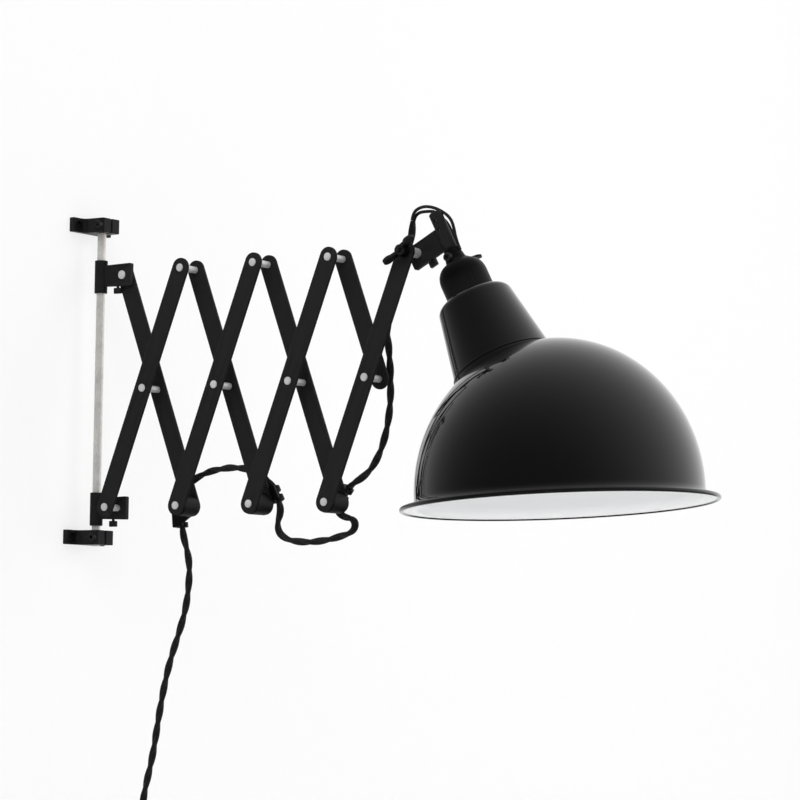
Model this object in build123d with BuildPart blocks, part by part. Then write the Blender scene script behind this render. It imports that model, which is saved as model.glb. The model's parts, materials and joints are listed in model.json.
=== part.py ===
from build123d import *

import math
import os

# Accordion wall lamp: a scissor arm of flat steel bars on a wall rod, with a tilting enamelled shade.
#
# Millimetres. The origin is on the wall, at the middle of the four wall screws. +X points away from the
# wall, +Z up, and the arm lies in the XZ plane. All moving bars turn about axes along Y.

os.makedirs("parts", exist_ok=True)

# ---------------------------------------------------------------- driving dimensions
# scissor arm
BAR_LENGTH = 260.0  # between the end pivots of a full bar
BAR_WIDTH = 20.0
BAR_THICKNESS = 3.0
BAR_LEAN = 21.0  # degrees from vertical, as photographed
FRONT_BARS = 4
ROD_X = 18.5
PIVOT_FROM_ROD = 30.0
CELL_PITCH = BAR_LENGTH * math.sin(math.radians(BAR_LEAN))
CELL_HEIGHT = BAR_LENGTH * math.cos(math.radians(BAR_LEAN))

# the two bar layers along Y
FRONT_LAYER_Y = -23.0  # front face of the "/" bars
BACK_LAYER_Y = 2.6  # front face of the "\" bars
FRONT_BACK_Y = FRONT_LAYER_Y + BAR_THICKNESS
BACK_BACK_Y = BACK_LAYER_Y + BAR_THICKNESS

# wall brackets
SCREW_SPACING_Y = 44.0
SCREW_SPACING_Z = 325.6
BLOCK_WIDTH = 27.0
BLOCK_DEPTH = 31.5
BRACKET_HEIGHT = 15.0
FOOT_THICKNESS = 6.0
BRACKET_SPAN = 61.0
WALL_SCREW_R = 2.3
SLIT_WIDTH = 2.7
CLAMP_SCREW_X = 26.6

# rod and collars
ROD_R = 4.5
RUNNING_GAP = 0.05
COLLAR_R = 6.75
COLLAR_BELOW = 17.8
COLLAR_ABOVE = 16.5
PLATE_THICKNESS = 4.5
PLATE_END_X = 60.0

# pivots
PIN_R = 2.5
BORE_R = PIN_R + RUNNING_GAP
HEAD_R = 4.0
HEAD_THICKNESS = 1.5
SPACER_R = 3.5
AXIAL_GAP = 0.1

# the lowest pivot of the arm hangs this far under the middle of the wall screws
ARM_BOTTOM_Z = -132.5
ARM_TOP_Z = ARM_BOTTOM_Z + CELL_HEIGHT
ARM_MIDDLE_Z = ARM_BOTTOM_Z + CELL_HEIGHT / 2
FIRST_PIVOT_X = ROD_X + PIVOT_FROM_ROD

# head and shade, in the head's own frame: n leaves the arm, t runs up along the head tube
HEAD_LEAN = 28.0
TUBE_N = 35.0
TUBE_TOP_T = 24.7
TUBE_BOTTOM_T = -16.5
SPINDLE_R = 4.0
NECK_TOP_T = -72.7
NECK_TOP_R = 38.0
NECK_SHOULDER = 8.0
NECK_HALF_ANGLE = 10.0
NECK_BEAD_T = -147.0
SHEET = 1.5
SOCKET_R = 13.35
SOCKET_MOUTH_T = -112.0
SOCKET_DEPTH = 28.0

# bowl
BOWL_X = 587.0
BOWL_Z = -128.5
BOWL_LEAN = 3.6
BOWL_R = 138.0
BOWL_HEIGHT = 148.0
BOWL_SHEET = 1.4
LIP_R = 9.64
BEAD_R = 1.8
QUARTER = 0.5523  # handle length of the curve that follows a quarter of an ellipse

# cord
CORD_R = 3.25
CONDUCTOR_R = 1.6
CORD_Y = 14.0
CLIP_BORE_R = 3.6
CLIP_R = 6.2
TURN_PITCH = 7.4
LAYER_1_TURNS = 3.0
COIL_INNER_R = 25.2
COIL_OUTER_R = COIL_INNER_R + TURN_PITCH * LAYER_1_TURNS
CLIMB_DIP = 0.9
COIL_TOP = (98.0, -453.2)
CLIMB_TURNS = 0.5
LAYER_2_TURNS = 2.75
PLUG_TAIL = 34.0


# ---------------------------------------------------------------- places
def side_plane(y):
    """The plane at this Y seen from the front: local x is X, local y is Z, and extrusions go to -Y."""
    return Plane(origin=(0, y, 0), x_dir=(1, 0, 0), z_dir=(0, -1, 0))


def pivot_x(cell):
    """X of the arm's pivots at this cell border; 0 is the border beside the rod."""
    return FIRST_PIVOT_X + CELL_PITCH * cell


def middle_x(cell):
    """X of the crossing in the middle of cell 1, 2, 3 or 4."""
    return FIRST_PIVOT_X + CELL_PITCH * (cell - 0.5)


def lean_direction(degrees, along):
    """A unit vector in the XZ plane: along the leaning axis, or across it."""
    angle = math.radians(degrees)
    if along:
        return (-math.sin(angle), 0, math.cos(angle))
    return (math.cos(angle), 0, math.sin(angle))


HEAD_PLANE = Plane(
    origin=(pivot_x(FRONT_BARS), 0, ARM_TOP_Z),
    x_dir=lean_direction(HEAD_LEAN, along=False),
    z_dir=(0, -1, 0),
)
HEAD_AXIS = Axis(HEAD_PLANE.from_local_coords((TUBE_N, 0, 0)), lean_direction(HEAD_LEAN, along=True))
BOWL_PLANE = Plane(
    origin=(BOWL_X, 0, BOWL_Z), x_dir=lean_direction(BOWL_LEAN, along=False), z_dir=(0, -1, 0)
)
BOWL_AXIS = Axis((BOWL_X, 0, BOWL_Z), lean_direction(BOWL_LEAN, along=True))


def head_section(t):
    """The plane across the head tube at this height t, with its normal up along the tube."""
    return Plane(
        origin=HEAD_PLANE.from_local_coords((TUBE_N, t, 0)),
        x_dir=lean_direction(HEAD_LEAN, along=False),
        z_dir=lean_direction(HEAD_LEAN, along=True),
    )


def keep(build, name):
    """Labels a finished piece and writes it to its own file."""
    build.part.label = name
    export_step(build.part, f"parts/{name}.step")


# ---------------------------------------------------------------- wall brackets and rod
def wall_bracket(middle_z):
    """A split clamp block on two feet, cut from one bar of steel."""
    half_block = BLOCK_WIDTH / 2
    half_span = BRACKET_SPAN / 2
    with BuildPart() as bracket:
        with BuildSketch(Plane.XY.offset(middle_z - BRACKET_HEIGHT / 2)):
            with BuildLine():
                FilletPolyline(
                    (0, -half_span),
                    (FOOT_THICKNESS, -half_span),
                    (FOOT_THICKNESS, -half_block),
                    (BLOCK_DEPTH, -half_block),
                    (BLOCK_DEPTH, half_block),
                    (FOOT_THICKNESS, half_block),
                    (FOOT_THICKNESS, half_span),
                    (0, half_span),
                    radius=[1.5, 5.0, 2.0, 2.0, 5.0, 1.5],
                )
                Line((0, half_span), (0, -half_span))
            make_face()
            with Locations((ROD_X, 0)):
                Circle(ROD_R, mode=Mode.SUBTRACT)
            with Locations(((ROD_X + BLOCK_DEPTH + 2) / 2, 0)):
                Rectangle(BLOCK_DEPTH + 2 - ROD_X, SLIT_WIDTH, mode=Mode.SUBTRACT)
        extrude(amount=BRACKET_HEIGHT)
        outline = bracket.faces().sort_by(Axis.Z)
        chamfer([*outline[0].outer_wire().edges(), *outline[-1].outer_wire().edges()], 0.5)
        with Locations(Plane(origin=(FOOT_THICKNESS, 0, middle_z), x_dir=(0, 1, 0), z_dir=(1, 0, 0))):
            with GridLocations(SCREW_SPACING_Y, 1, 2, 1):
                CounterSinkHole(WALL_SCREW_R, 2 * WALL_SCREW_R)
        with BuildSketch(side_plane(half_block + 1)):
            with Locations((CLAMP_SCREW_X, middle_z)):
                Circle(2.1)
        extrude(amount=BLOCK_WIDTH + 2, mode=Mode.SUBTRACT)
    return bracket


for side, name in ((1, "upper_bracket"), (-1, "lower_bracket")):
    keep(wall_bracket(side * SCREW_SPACING_Z / 2), name)

with BuildPart() as bracket_clamp_screws:
    clamp_places = [(CLAMP_SCREW_X, side * SCREW_SPACING_Z / 2) for side in (1, -1)]
    with BuildSketch(side_plane(-BLOCK_WIDTH / 2)):
        with Locations(*clamp_places):
            Circle(4.0)
    extrude(amount=4.0)
    chamfer(bracket_clamp_screws.faces().sort_by(Axis.Y)[:2].edges(), 0.4)
    with BuildSketch(side_plane(BLOCK_WIDTH / 2)):
        with Locations(*clamp_places):
            Circle(2.0)
    extrude(amount=BLOCK_WIDTH + 0.5)
    with BuildSketch(side_plane(-BLOCK_WIDTH / 2 - 4.0)):
        with Locations(*clamp_places):
            RegularPolygon(1.75, 6)
    extrude(amount=-2.2, mode=Mode.SUBTRACT)
keep(bracket_clamp_screws, "bracket_clamp_screws")

ROD_BOTTOM_Z = -171.5
ROD_TOP_Z = 170.5
with BuildPart() as rod:
    with BuildSketch(Plane.XY.offset(ROD_BOTTOM_Z)):
        with Locations((ROD_X, 0)):
            Circle(ROD_R)
    extrude(amount=ROD_TOP_Z - ROD_BOTTOM_Z)
    chamfer(rod.faces().filter_by(Axis.Z).edges(), 0.5)
keep(rod, "rod")


# ---------------------------------------------------------------- collars on the rod
SCREW_FROM_PIVOT = -7.0
PLATE_LOW = 11.0
PLATE_HIGH = 12.0
THUMB_WIDTH = 9.4
THUMB_DEPTH = 4.2
THUMB_HEIGHT = 6.0
THUMB_SHANK_R = 1.5


def collar(pivot_z):
    """A tube that turns on the rod, with a flat cheek that carries the first pivot."""
    plate_start = ROD_X + COLLAR_R - 1.0
    screw_x = FIRST_PIVOT_X + SCREW_FROM_PIVOT
    with BuildPart() as part:
        with BuildSketch(Plane.XY.offset(pivot_z - COLLAR_BELOW)):
            with Locations((ROD_X, 0)):
                Circle(COLLAR_R)
        extrude(amount=COLLAR_BELOW + COLLAR_ABOVE)
        chamfer(part.faces().filter_by(Axis.Z).edges(), 0.5)
        with BuildSketch(side_plane(PLATE_THICKNESS / 2)):
            with BuildLine():
                FilletPolyline(
                    (plate_start, pivot_z - PLATE_LOW),
                    (PLATE_END_X, pivot_z - PLATE_HIGH),
                    (PLATE_END_X, pivot_z + PLATE_HIGH),
                    (plate_start, pivot_z + PLATE_LOW),
                    radius=[1.5, 1.5],
                )
                Line((plate_start, pivot_z + PLATE_LOW), (plate_start, pivot_z - PLATE_LOW))
            make_face()
        extrude(amount=PLATE_THICKNESS)
        with BuildSketch(Plane.XY.offset(pivot_z - COLLAR_BELOW - 1)):
            with Locations((ROD_X, 0)):
                Circle(ROD_R + RUNNING_GAP)
        extrude(amount=COLLAR_BELOW + COLLAR_ABOVE + 2, mode=Mode.SUBTRACT)
        with BuildSketch(side_plane(PLATE_THICKNESS)):
            with Locations((FIRST_PIVOT_X, pivot_z)):
                Circle(PIN_R)
        extrude(amount=2 * PLATE_THICKNESS, mode=Mode.SUBTRACT)
        with BuildSketch(Plane.XY.offset(pivot_z - PLATE_HIGH - 1)):
            with Locations((screw_x, 0)):
                Circle(THUMB_SHANK_R)
        extrude(amount=12, mode=Mode.SUBTRACT)
    return part


def thumb_screw(pivot_z):
    """The flat-headed thumb screw under a collar's cheek, which sets the friction of its pivot."""
    screw_x = FIRST_PIVOT_X + SCREW_FROM_PIVOT
    edge_z = pivot_z - PLATE_LOW - 0.7
    with BuildPart() as screw:
        with BuildSketch(Plane.XY.offset(edge_z - 1.5 - THUMB_HEIGHT)):
            with Locations((screw_x, 0)):
                RectangleRounded(THUMB_WIDTH, THUMB_DEPTH, 1.5)
        extrude(amount=THUMB_HEIGHT)
        chamfer(screw.faces().filter_by(Axis.Z).edges(), 0.5)
        with BuildSketch(Plane.XY.offset(edge_z - 1.5)):
            with Locations((screw_x, 0)):
                Circle(THUMB_SHANK_R)
        extrude(amount=11)
    return screw


def riveted_pins(places, front_y, back_y, head_r=HEAD_R):
    """Round-headed pins along Y at these (X, Z) places, from the back of one head to the back of the other."""
    with BuildPart() as pins:
        for y_back, length, radius in (
            (front_y, HEAD_THICKNESS, head_r),
            (back_y + HEAD_THICKNESS, HEAD_THICKNESS, head_r),
            (back_y, back_y - front_y, PIN_R),
        ):
            with BuildSketch(side_plane(y_back)):
                with Locations(*places):
                    Circle(radius)
            extrude(amount=length)
        head_faces = pins.faces().filter_by(Axis.Y).group_by(Axis.Y)
        chamfer([*head_faces[0].edges(), *head_faces[-1].edges()], 0.6)
    return pins


def spacers(places, front_y, back_y, outer_r=SPACER_R, inner_r=BORE_R):
    """Tubes on the pins, between two layers."""
    with BuildPart() as tubes:
        with BuildSketch(side_plane(back_y)):
            with Locations(*places):
                Circle(outer_r)
                Circle(inner_r, mode=Mode.SUBTRACT)
        extrude(amount=back_y - front_y)
    return tubes


HALF_PLATE = PLATE_THICKNESS / 2
keep(collar(ARM_BOTTOM_Z), "lower_collar")
keep(thumb_screw(ARM_BOTTOM_Z), "lower_collar_screw")
keep(
    riveted_pins([(FIRST_PIVOT_X, ARM_BOTTOM_Z)], FRONT_LAYER_Y - AXIAL_GAP, HALF_PLATE),
    "lower_collar_pin",
)
keep(
    spacers([(FIRST_PIVOT_X, ARM_BOTTOM_Z)], FRONT_BACK_Y + AXIAL_GAP, -HALF_PLATE, inner_r=PIN_R),
    "lower_collar_spacer",
)
keep(collar(ARM_TOP_Z), "upper_collar")
keep(thumb_screw(ARM_TOP_Z), "upper_collar_screw")
keep(
    riveted_pins([(FIRST_PIVOT_X, ARM_TOP_Z)], -HALF_PLATE, BACK_BACK_Y + AXIAL_GAP, head_r=4.5),
    "upper_collar_pin",
)


# ---------------------------------------------------------------- the scissor bars
def flat_bar(start, end, front_y, bores):
    """A round-ended flat bar from pivot start to pivot end, drilled at the given shares of its length."""
    middle_x = (start[0] + end[0]) / 2
    middle_z = (start[1] + end[1]) / 2
    length = math.dist(start, end)
    along = ((end[0] - start[0]) / length, 0, (end[1] - start[1]) / length)
    face = Plane(origin=(middle_x, front_y + BAR_THICKNESS, middle_z), x_dir=along, z_dir=(0, -1, 0))
    with BuildPart() as bar:
        with BuildSketch(face):
            SlotCenterToCenter(length, BAR_WIDTH)
        extrude(amount=BAR_THICKNESS)
        chamfer(bar.faces().filter_by(Axis.Y).edges(), 0.35)
        with BuildSketch(face):
            for share in bores:
                with Locations(((share - 0.5) * length, 0)):
                    Circle(BORE_R)
        extrude(amount=BAR_THICKNESS, mode=Mode.SUBTRACT)
    return bar


for cell in range(1, FRONT_BARS + 1):
    low_left = (pivot_x(cell - 1), ARM_BOTTOM_Z)
    high_right = (pivot_x(cell), ARM_TOP_Z)
    high_left = (pivot_x(cell - 1), ARM_TOP_Z)
    low_right = (pivot_x(cell), ARM_BOTTOM_Z)
    crossing = (middle_x(cell), ARM_MIDDLE_Z)
    last = cell == FRONT_BARS
    keep(flat_bar(low_left, high_right, FRONT_LAYER_Y, (0, 0.5, 1)), f"front_bar_{cell}")
    if last:
        keep(flat_bar(high_left, crossing, BACK_LAYER_Y, (0, 1)), f"back_bar_{cell}")
    else:
        keep(flat_bar(high_left, low_right, BACK_LAYER_Y, (0, 0.5, 1)), f"back_bar_{cell}")
    rivet_places = [crossing] if last else [crossing, high_right]
    keep(
        riveted_pins(rivet_places, FRONT_LAYER_Y, BACK_BACK_Y + AXIAL_GAP),
        f"front_bar_{cell}_rivets",
    )
    keep(spacers(rivet_places, FRONT_BACK_Y, BACK_LAYER_Y - AXIAL_GAP), f"front_bar_{cell}_spacers")


# ---------------------------------------------------------------- lower pivots, hubs and cable clips
HUB_R = 10.5
STRAP_FRONT_Y = BACK_BACK_Y + AXIAL_GAP
STRAP_THICKNESS = 3.0
STRAP_BACK_Y = STRAP_FRONT_Y + STRAP_THICKNESS
JAW_LENGTH = 5.0
JAW_GAP = 5.0
# where each clip holds the cord, measured from its pivot (X, Z), and the cord's heading there in degrees
CLIP_HOLDS = {1: ((-20.7, -13.0), -84.0), 2: ((6.7, 11.2), -62.0), 3: ((-1.4, 10.2), 52.0)}


def held_at(number):
    """The middle of the clip's jaws, as (X, Z)."""
    (dx, dz), _ = CLIP_HOLDS[number]
    return (pivot_x(number) + dx, ARM_BOTTOM_Z + dz)


def cable_clip(number):
    """A moulded strap on the back of a pivot, with two ring jaws round the cord."""
    pivot = (pivot_x(number), ARM_BOTTOM_Z)
    hold = held_at(number)
    heading = math.radians(CLIP_HOLDS[number][1])
    along = (math.cos(heading), 0, math.sin(heading))
    arm = (hold[0] - pivot[0], hold[1] - pivot[1])
    reach = math.hypot(*arm)
    half_jaws = JAW_LENGTH + JAW_GAP / 2
    with BuildPart() as clip:
        strap = Plane(
            origin=((pivot[0] + hold[0]) / 2, STRAP_BACK_Y, (pivot[1] + hold[1]) / 2),
            x_dir=(arm[0] / reach, 0, arm[1] / reach),
            z_dir=(0, -1, 0),
        )
        with BuildSketch(strap):
            SlotCenterToCenter(reach, 2 * CLIP_R)
        extrude(amount=STRAP_THICKNESS)
        backing = Plane(origin=(hold[0], STRAP_BACK_Y, hold[1]), x_dir=along, z_dir=(0, -1, 0))
        with BuildSketch(backing):
            RectangleRounded(2 * half_jaws, 2 * CLIP_R, 1.5)
        extrude(amount=STRAP_THICKNESS)
        for start in (-half_jaws, JAW_GAP / 2):
            origin = (hold[0] + along[0] * start, CORD_Y, hold[1] + along[2] * start)
            with BuildSketch(Plane(origin=origin, x_dir=(0, 1, 0), z_dir=along)):
                Circle(CLIP_R)
            extrude(amount=JAW_LENGTH)
        bore_start = (hold[0] - along[0] * half_jaws * 2, CORD_Y, hold[1] - along[2] * half_jaws * 2)
        with BuildSketch(Plane(origin=bore_start, x_dir=(0, 1, 0), z_dir=along)):
            Circle(CLIP_BORE_R)
        extrude(amount=half_jaws * 4, mode=Mode.SUBTRACT)
        with BuildSketch(side_plane(STRAP_BACK_Y + 1)):
            with Locations(pivot):
                Circle(PIN_R)
        extrude(amount=STRAP_THICKNESS + 2, mode=Mode.SUBTRACT)
        with BuildSketch(side_plane(STRAP_BACK_Y + HEAD_THICKNESS + 8)):
            with Locations(pivot):
                Circle(HEAD_R + 0.2)
        extrude(amount=HEAD_THICKNESS + 8, mode=Mode.SUBTRACT)
    return clip


for number in (1, 2, 3):
    place = [(pivot_x(number), ARM_BOTTOM_Z)]
    keep(
        riveted_pins(place, FRONT_LAYER_Y - AXIAL_GAP, STRAP_BACK_Y),
        f"lower_pin_{number}",
    )
    keep(
        spacers(
            place, FRONT_BACK_Y + AXIAL_GAP, BACK_LAYER_Y - AXIAL_GAP, outer_r=HUB_R, inner_r=PIN_R
        ),
        f"pivot_hub_{number}",
    )
    keep(cable_clip(number), f"cable_clip_{number}")


# ---------------------------------------------------------------- the head pivot
BOLT_HEAD_R = 5.6
BOLT_HEAD = 4.0
NUT_FRONT_Y = -38.0
HEAD_PIVOT = (pivot_x(FRONT_BARS), ARM_TOP_Z)

with BuildPart() as head_pivot_bolt:
    with BuildSketch(side_plane(HALF_PLATE + AXIAL_GAP + BOLT_HEAD)):
        with Locations(HEAD_PIVOT):
            RegularPolygon(BOLT_HEAD_R, 6)
    extrude(amount=BOLT_HEAD)
    with BuildSketch(side_plane(HALF_PLATE + AXIAL_GAP)):
        with Locations(HEAD_PIVOT):
            Circle(BORE_R)
    extrude(amount=HALF_PLATE + AXIAL_GAP - NUT_FRONT_Y)
    chamfer(head_pivot_bolt.faces().sort_by(Axis.Y)[0].edges(), 0.4)
keep(head_pivot_bolt, "head_pivot_bolt")
keep(
    spacers([HEAD_PIVOT], FRONT_BACK_Y, -HALF_PLATE - AXIAL_GAP, outer_r=5.0),
    "head_pivot_spacer",
)

WING_ANGLE = 38.0
WING_THICKNESS = 3.0
WING_CENTRE = 14.8
WING_R = 6.0
NUT_BACK_Y = FRONT_LAYER_Y - AXIAL_GAP


def wing_nut(centre, front_y, back_y, wing_plane, wing_centre, wing_r, hub_r, bore_r):
    """A nut along Y with two round wings; wing_plane holds the nut's axis and its wings, with local y to -Y."""
    depth = back_y - front_y
    with BuildPart() as nut:
        with BuildSketch(side_plane(back_y)):
            with Locations(centre):
                Circle(hub_r)
        extrude(amount=depth, taper=6)
        for side in (1, -1):
            with BuildSketch(wing_plane):
                with BuildLine():
                    Polyline(
                        (0, depth * 0.25),
                        (side * wing_centre, depth * 0.62),
                        (side * wing_centre, depth + wing_r * 0.9),
                        (0, depth * 0.9),
                        close=True,
                    )
                make_face()
                with Locations((side * wing_centre, depth + wing_r * 0.1)):
                    Circle(wing_r)
            extrude(amount=WING_THICKNESS / 2, both=True)
        with BuildSketch(side_plane(back_y + 1)):
            with Locations(centre):
                Circle(bore_r)
        extrude(amount=depth + 2, mode=Mode.SUBTRACT)
    return nut


def wing_plane_at(centre, back_y, angle):
    """The plane through the nut's axis that its wings lie in, turned by angle from +X towards +Z."""
    turn = math.radians(angle)
    return Plane(
        origin=(centre[0], back_y, centre[1]),
        x_dir=(math.cos(turn), 0, math.sin(turn)),
        z_dir=(math.sin(turn), 0, -math.cos(turn)),
    )


keep(
    wing_nut(
        HEAD_PIVOT,
        NUT_FRONT_Y + 4.5,
        NUT_BACK_Y,
        wing_plane_at(HEAD_PIVOT, NUT_BACK_Y, WING_ANGLE),
        WING_CENTRE,
        WING_R,
        6.5,
        BORE_R + RUNNING_GAP,
    ),
    "pivot_wing_nut",
)


# ---------------------------------------------------------------- the head: cheek, tube and friction screw
HEAD_SCREW_N = 11.0
PLATE_LOW_T = -14.0
PLATE_HIGH_T = 9.5

with BuildPart() as head_bracket:
    with BuildSketch(head_section(TUBE_BOTTOM_T)):
        Circle(COLLAR_R)
    extrude(amount=TUBE_TOP_T - TUBE_BOTTOM_T)
    chamfer(head_bracket.faces().filter_by(GeomType.PLANE).edges(), 0.5)
    with BuildSketch(HEAD_PLANE.offset(-HALF_PLATE)):
        with BuildLine():
            FilletPolyline(
                (TUBE_N - COLLAR_R + 1, PLATE_LOW_T),
                (-10.0, PLATE_LOW_T),
                (-10.0, PLATE_HIGH_T),
                (TUBE_N - COLLAR_R + 1, PLATE_HIGH_T),
                radius=[2.0, 2.0],
            )
            Line((TUBE_N - COLLAR_R + 1, PLATE_HIGH_T), (TUBE_N - COLLAR_R + 1, PLATE_LOW_T))
        make_face()
    extrude(amount=PLATE_THICKNESS)
    with BuildSketch(head_section(TUBE_BOTTOM_T - 1)):
        Circle(SPINDLE_R + RUNNING_GAP)
    extrude(amount=TUBE_TOP_T - TUBE_BOTTOM_T + 2, mode=Mode.SUBTRACT)
    with BuildSketch(HEAD_PLANE.offset(-PLATE_THICKNESS)):
        Circle(BORE_R + RUNNING_GAP)
    extrude(amount=2 * PLATE_THICKNESS, mode=Mode.SUBTRACT)
    with BuildSketch(HEAD_PLANE.offset(COLLAR_R + 1)):
        with Locations((TUBE_N, 5.5), (TUBE_N, 15.5)):
            Circle(1.3)
    extrude(amount=-COLLAR_R, mode=Mode.SUBTRACT)
    screw_plane = Plane(
        origin=HEAD_PLANE.from_local_coords((HEAD_SCREW_N, PLATE_LOW_T, 0)),
        x_dir=lean_direction(HEAD_LEAN, along=False),
        z_dir=lean_direction(HEAD_LEAN, along=True),
    )
    with BuildSketch(screw_plane.offset(-1)):
        Circle(THUMB_SHANK_R)
    extrude(amount=11, mode=Mode.SUBTRACT)
keep(head_bracket, "head_bracket")

with BuildPart() as head_bracket_screw:
    with BuildSketch(screw_plane.offset(-1.2 - THUMB_HEIGHT)):
        RectangleRounded(THUMB_WIDTH, THUMB_DEPTH, 1.5)
    extrude(amount=THUMB_HEIGHT)
    chamfer(head_bracket_screw.faces().filter_by(GeomType.PLANE).sort_by(HEAD_AXIS)[0].edges(), 0.5)
    with BuildSketch(screw_plane.offset(-1.2)):
        Circle(THUMB_SHANK_R)
    extrude(amount=10.5)
keep(head_bracket_screw, "head_bracket_screw")


# ---------------------------------------------------------------- spindle, ferrule and cover
FERRULE_TOP_T = TUBE_BOTTOM_T - 0.3
FERRULE_BOTTOM_T = -33.0
FERRULE_BOLT_T = -27.0
FERRULE_BOLT_R = 2.5
FERRULE_TOP_R = 8.0
FERRULE_BOTTOM_R = 11.0
COVER_R = 24.0
HOLDER_R = 19.0
HOLDER_TOP_T = -52.0

with BuildPart() as spindle:
    with BuildSketch(head_section(HOLDER_TOP_T - 4)):
        Circle(SPINDLE_R)
    extrude(amount=TUBE_TOP_T - 0.8 - HOLDER_TOP_T + 4)
    with BuildSketch(HEAD_PLANE.offset(-SPINDLE_R - 1)):
        with Locations((TUBE_N, FERRULE_BOLT_T)):
            Circle(FERRULE_BOLT_R)
    extrude(amount=2 * SPINDLE_R + 2, mode=Mode.SUBTRACT)
keep(spindle, "spindle")

with BuildPart() as ferrule:
    with BuildSketch(HEAD_PLANE):
        with BuildLine():
            Polyline(
                (TUBE_N + SPINDLE_R, FERRULE_TOP_T),
                (TUBE_N + FERRULE_TOP_R - 0.6, FERRULE_TOP_T),
                (TUBE_N + FERRULE_TOP_R, FERRULE_TOP_T - 0.6),
                (TUBE_N + FERRULE_BOTTOM_R, FERRULE_BOTTOM_T + 1.5),
                (TUBE_N + FERRULE_BOTTOM_R, FERRULE_BOTTOM_T),
                (TUBE_N + SPINDLE_R, FERRULE_BOTTOM_T),
                close=True,
            )
        make_face()
    revolve(axis=HEAD_AXIS)
    with BuildSketch(HEAD_PLANE.offset(-FERRULE_BOTTOM_R - 1)):
        with Locations((TUBE_N, FERRULE_BOLT_T)):
            Circle(FERRULE_BOLT_R)
    extrude(amount=2 * FERRULE_BOTTOM_R + 2, mode=Mode.SUBTRACT)
keep(ferrule, "ferrule")

FERRULE_NUT_Y = 13.0
FERRULE_NUT_DEPTH = 8.0
with BuildPart() as ferrule_bolt:
    with BuildSketch(HEAD_PLANE.offset(-FERRULE_NUT_Y - FERRULE_NUT_DEPTH - 1.5)):
        with Locations((TUBE_N, FERRULE_BOLT_T)):
            Circle(FERRULE_BOLT_R)
    extrude(amount=FERRULE_NUT_Y + FERRULE_NUT_DEPTH + 1.5 + 11.5)
    with BuildSketch(HEAD_PLANE.offset(11.0)):
        with Locations((TUBE_N, FERRULE_BOLT_T)):
            Circle(4.25)
    extrude(amount=4.0)
    chamfer(ferrule_bolt.faces().sort_by(Axis.Y)[0].edges(), 0.4)
    with BuildSketch(HEAD_PLANE.offset(15.0)):
        with Locations((TUBE_N, FERRULE_BOLT_T)):
            RegularPolygon(2.2, 6)
    extrude(amount=-2.4, mode=Mode.SUBTRACT)
keep(ferrule_bolt, "ferrule_bolt")

bolt_point = HEAD_PLANE.from_local_coords((TUBE_N, FERRULE_BOLT_T, 0))
nut_place = (bolt_point.X, bolt_point.Z)


def back_wing_nut(centre, front_y, depth, angle):
    """A small two-winged nut on the back end of a bolt, its wings away from the arm."""
    turn = math.radians(angle)
    plane = Plane(
        origin=(centre[0], front_y, centre[1]),
        x_dir=(math.cos(turn), 0, math.sin(turn)),
        z_dir=(-math.sin(turn), 0, math.cos(turn)),
    )
    with BuildPart() as nut:
        with BuildSketch(side_plane(front_y + depth)):
            with Locations(centre):
                Circle(5.0)
        extrude(amount=depth)
        for side in (1, -1):
            with BuildSketch(plane):
                with BuildLine():
                    Polyline(
                        (0, depth * 0.2),
                        (side * 12.0, depth * 0.5),
                        (side * 12.0, depth + 3.5),
                        (0, depth * 0.95),
                        close=True,
                    )
                make_face()
                with Locations((side * 12.5, depth)):
                    Circle(4.2)
            extrude(amount=1.2, both=True)
        with BuildSketch(side_plane(front_y + depth + 1)):
            with Locations(centre):
                Circle(FERRULE_BOLT_R + 2 * RUNNING_GAP)
        extrude(amount=depth + 2, mode=Mode.SUBTRACT)
    return nut


keep(back_wing_nut(nut_place, FERRULE_NUT_Y, FERRULE_NUT_DEPTH, 15.0), "ferrule_wing_nut")

COVER_TOP_T = FERRULE_BOTTOM_T - 0.2
with BuildPart() as lampholder_cover:
    with BuildSketch(HEAD_PLANE):
        with BuildLine():
            Line((TUBE_N + SPINDLE_R + 0.1, COVER_TOP_T), (TUBE_N + 10, COVER_TOP_T))
            Bezier(
                (TUBE_N + 10, COVER_TOP_T),
                (TUBE_N + 19, COVER_TOP_T),
                (TUBE_N + COVER_R, COVER_TOP_T - 7),
                (TUBE_N + COVER_R, COVER_TOP_T - 17),
            )
            Polyline(
                (TUBE_N + COVER_R, COVER_TOP_T - 17),
                (TUBE_N + COVER_R, NECK_TOP_T + 0.8),
                (TUBE_N + COVER_R - 0.8, NECK_TOP_T),
                (TUBE_N + COVER_R - 2, NECK_TOP_T),
                (TUBE_N + COVER_R - 2, COVER_TOP_T - 17),
            )
            Bezier(
                (TUBE_N + COVER_R - 2, COVER_TOP_T - 17),
                (TUBE_N + COVER_R - 2, COVER_TOP_T - 8.5),
                (TUBE_N + 18, COVER_TOP_T - 2),
                (TUBE_N + 10, COVER_TOP_T - 2),
            )
            Polyline(
                (TUBE_N + 10, COVER_TOP_T - 2),
                (TUBE_N + SPINDLE_R + 0.1, COVER_TOP_T - 2),
                (TUBE_N + SPINDLE_R + 0.1, COVER_TOP_T),
            )
        make_face()
    revolve(axis=HEAD_AXIS)
keep(lampholder_cover, "lampholder_cover")


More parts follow.
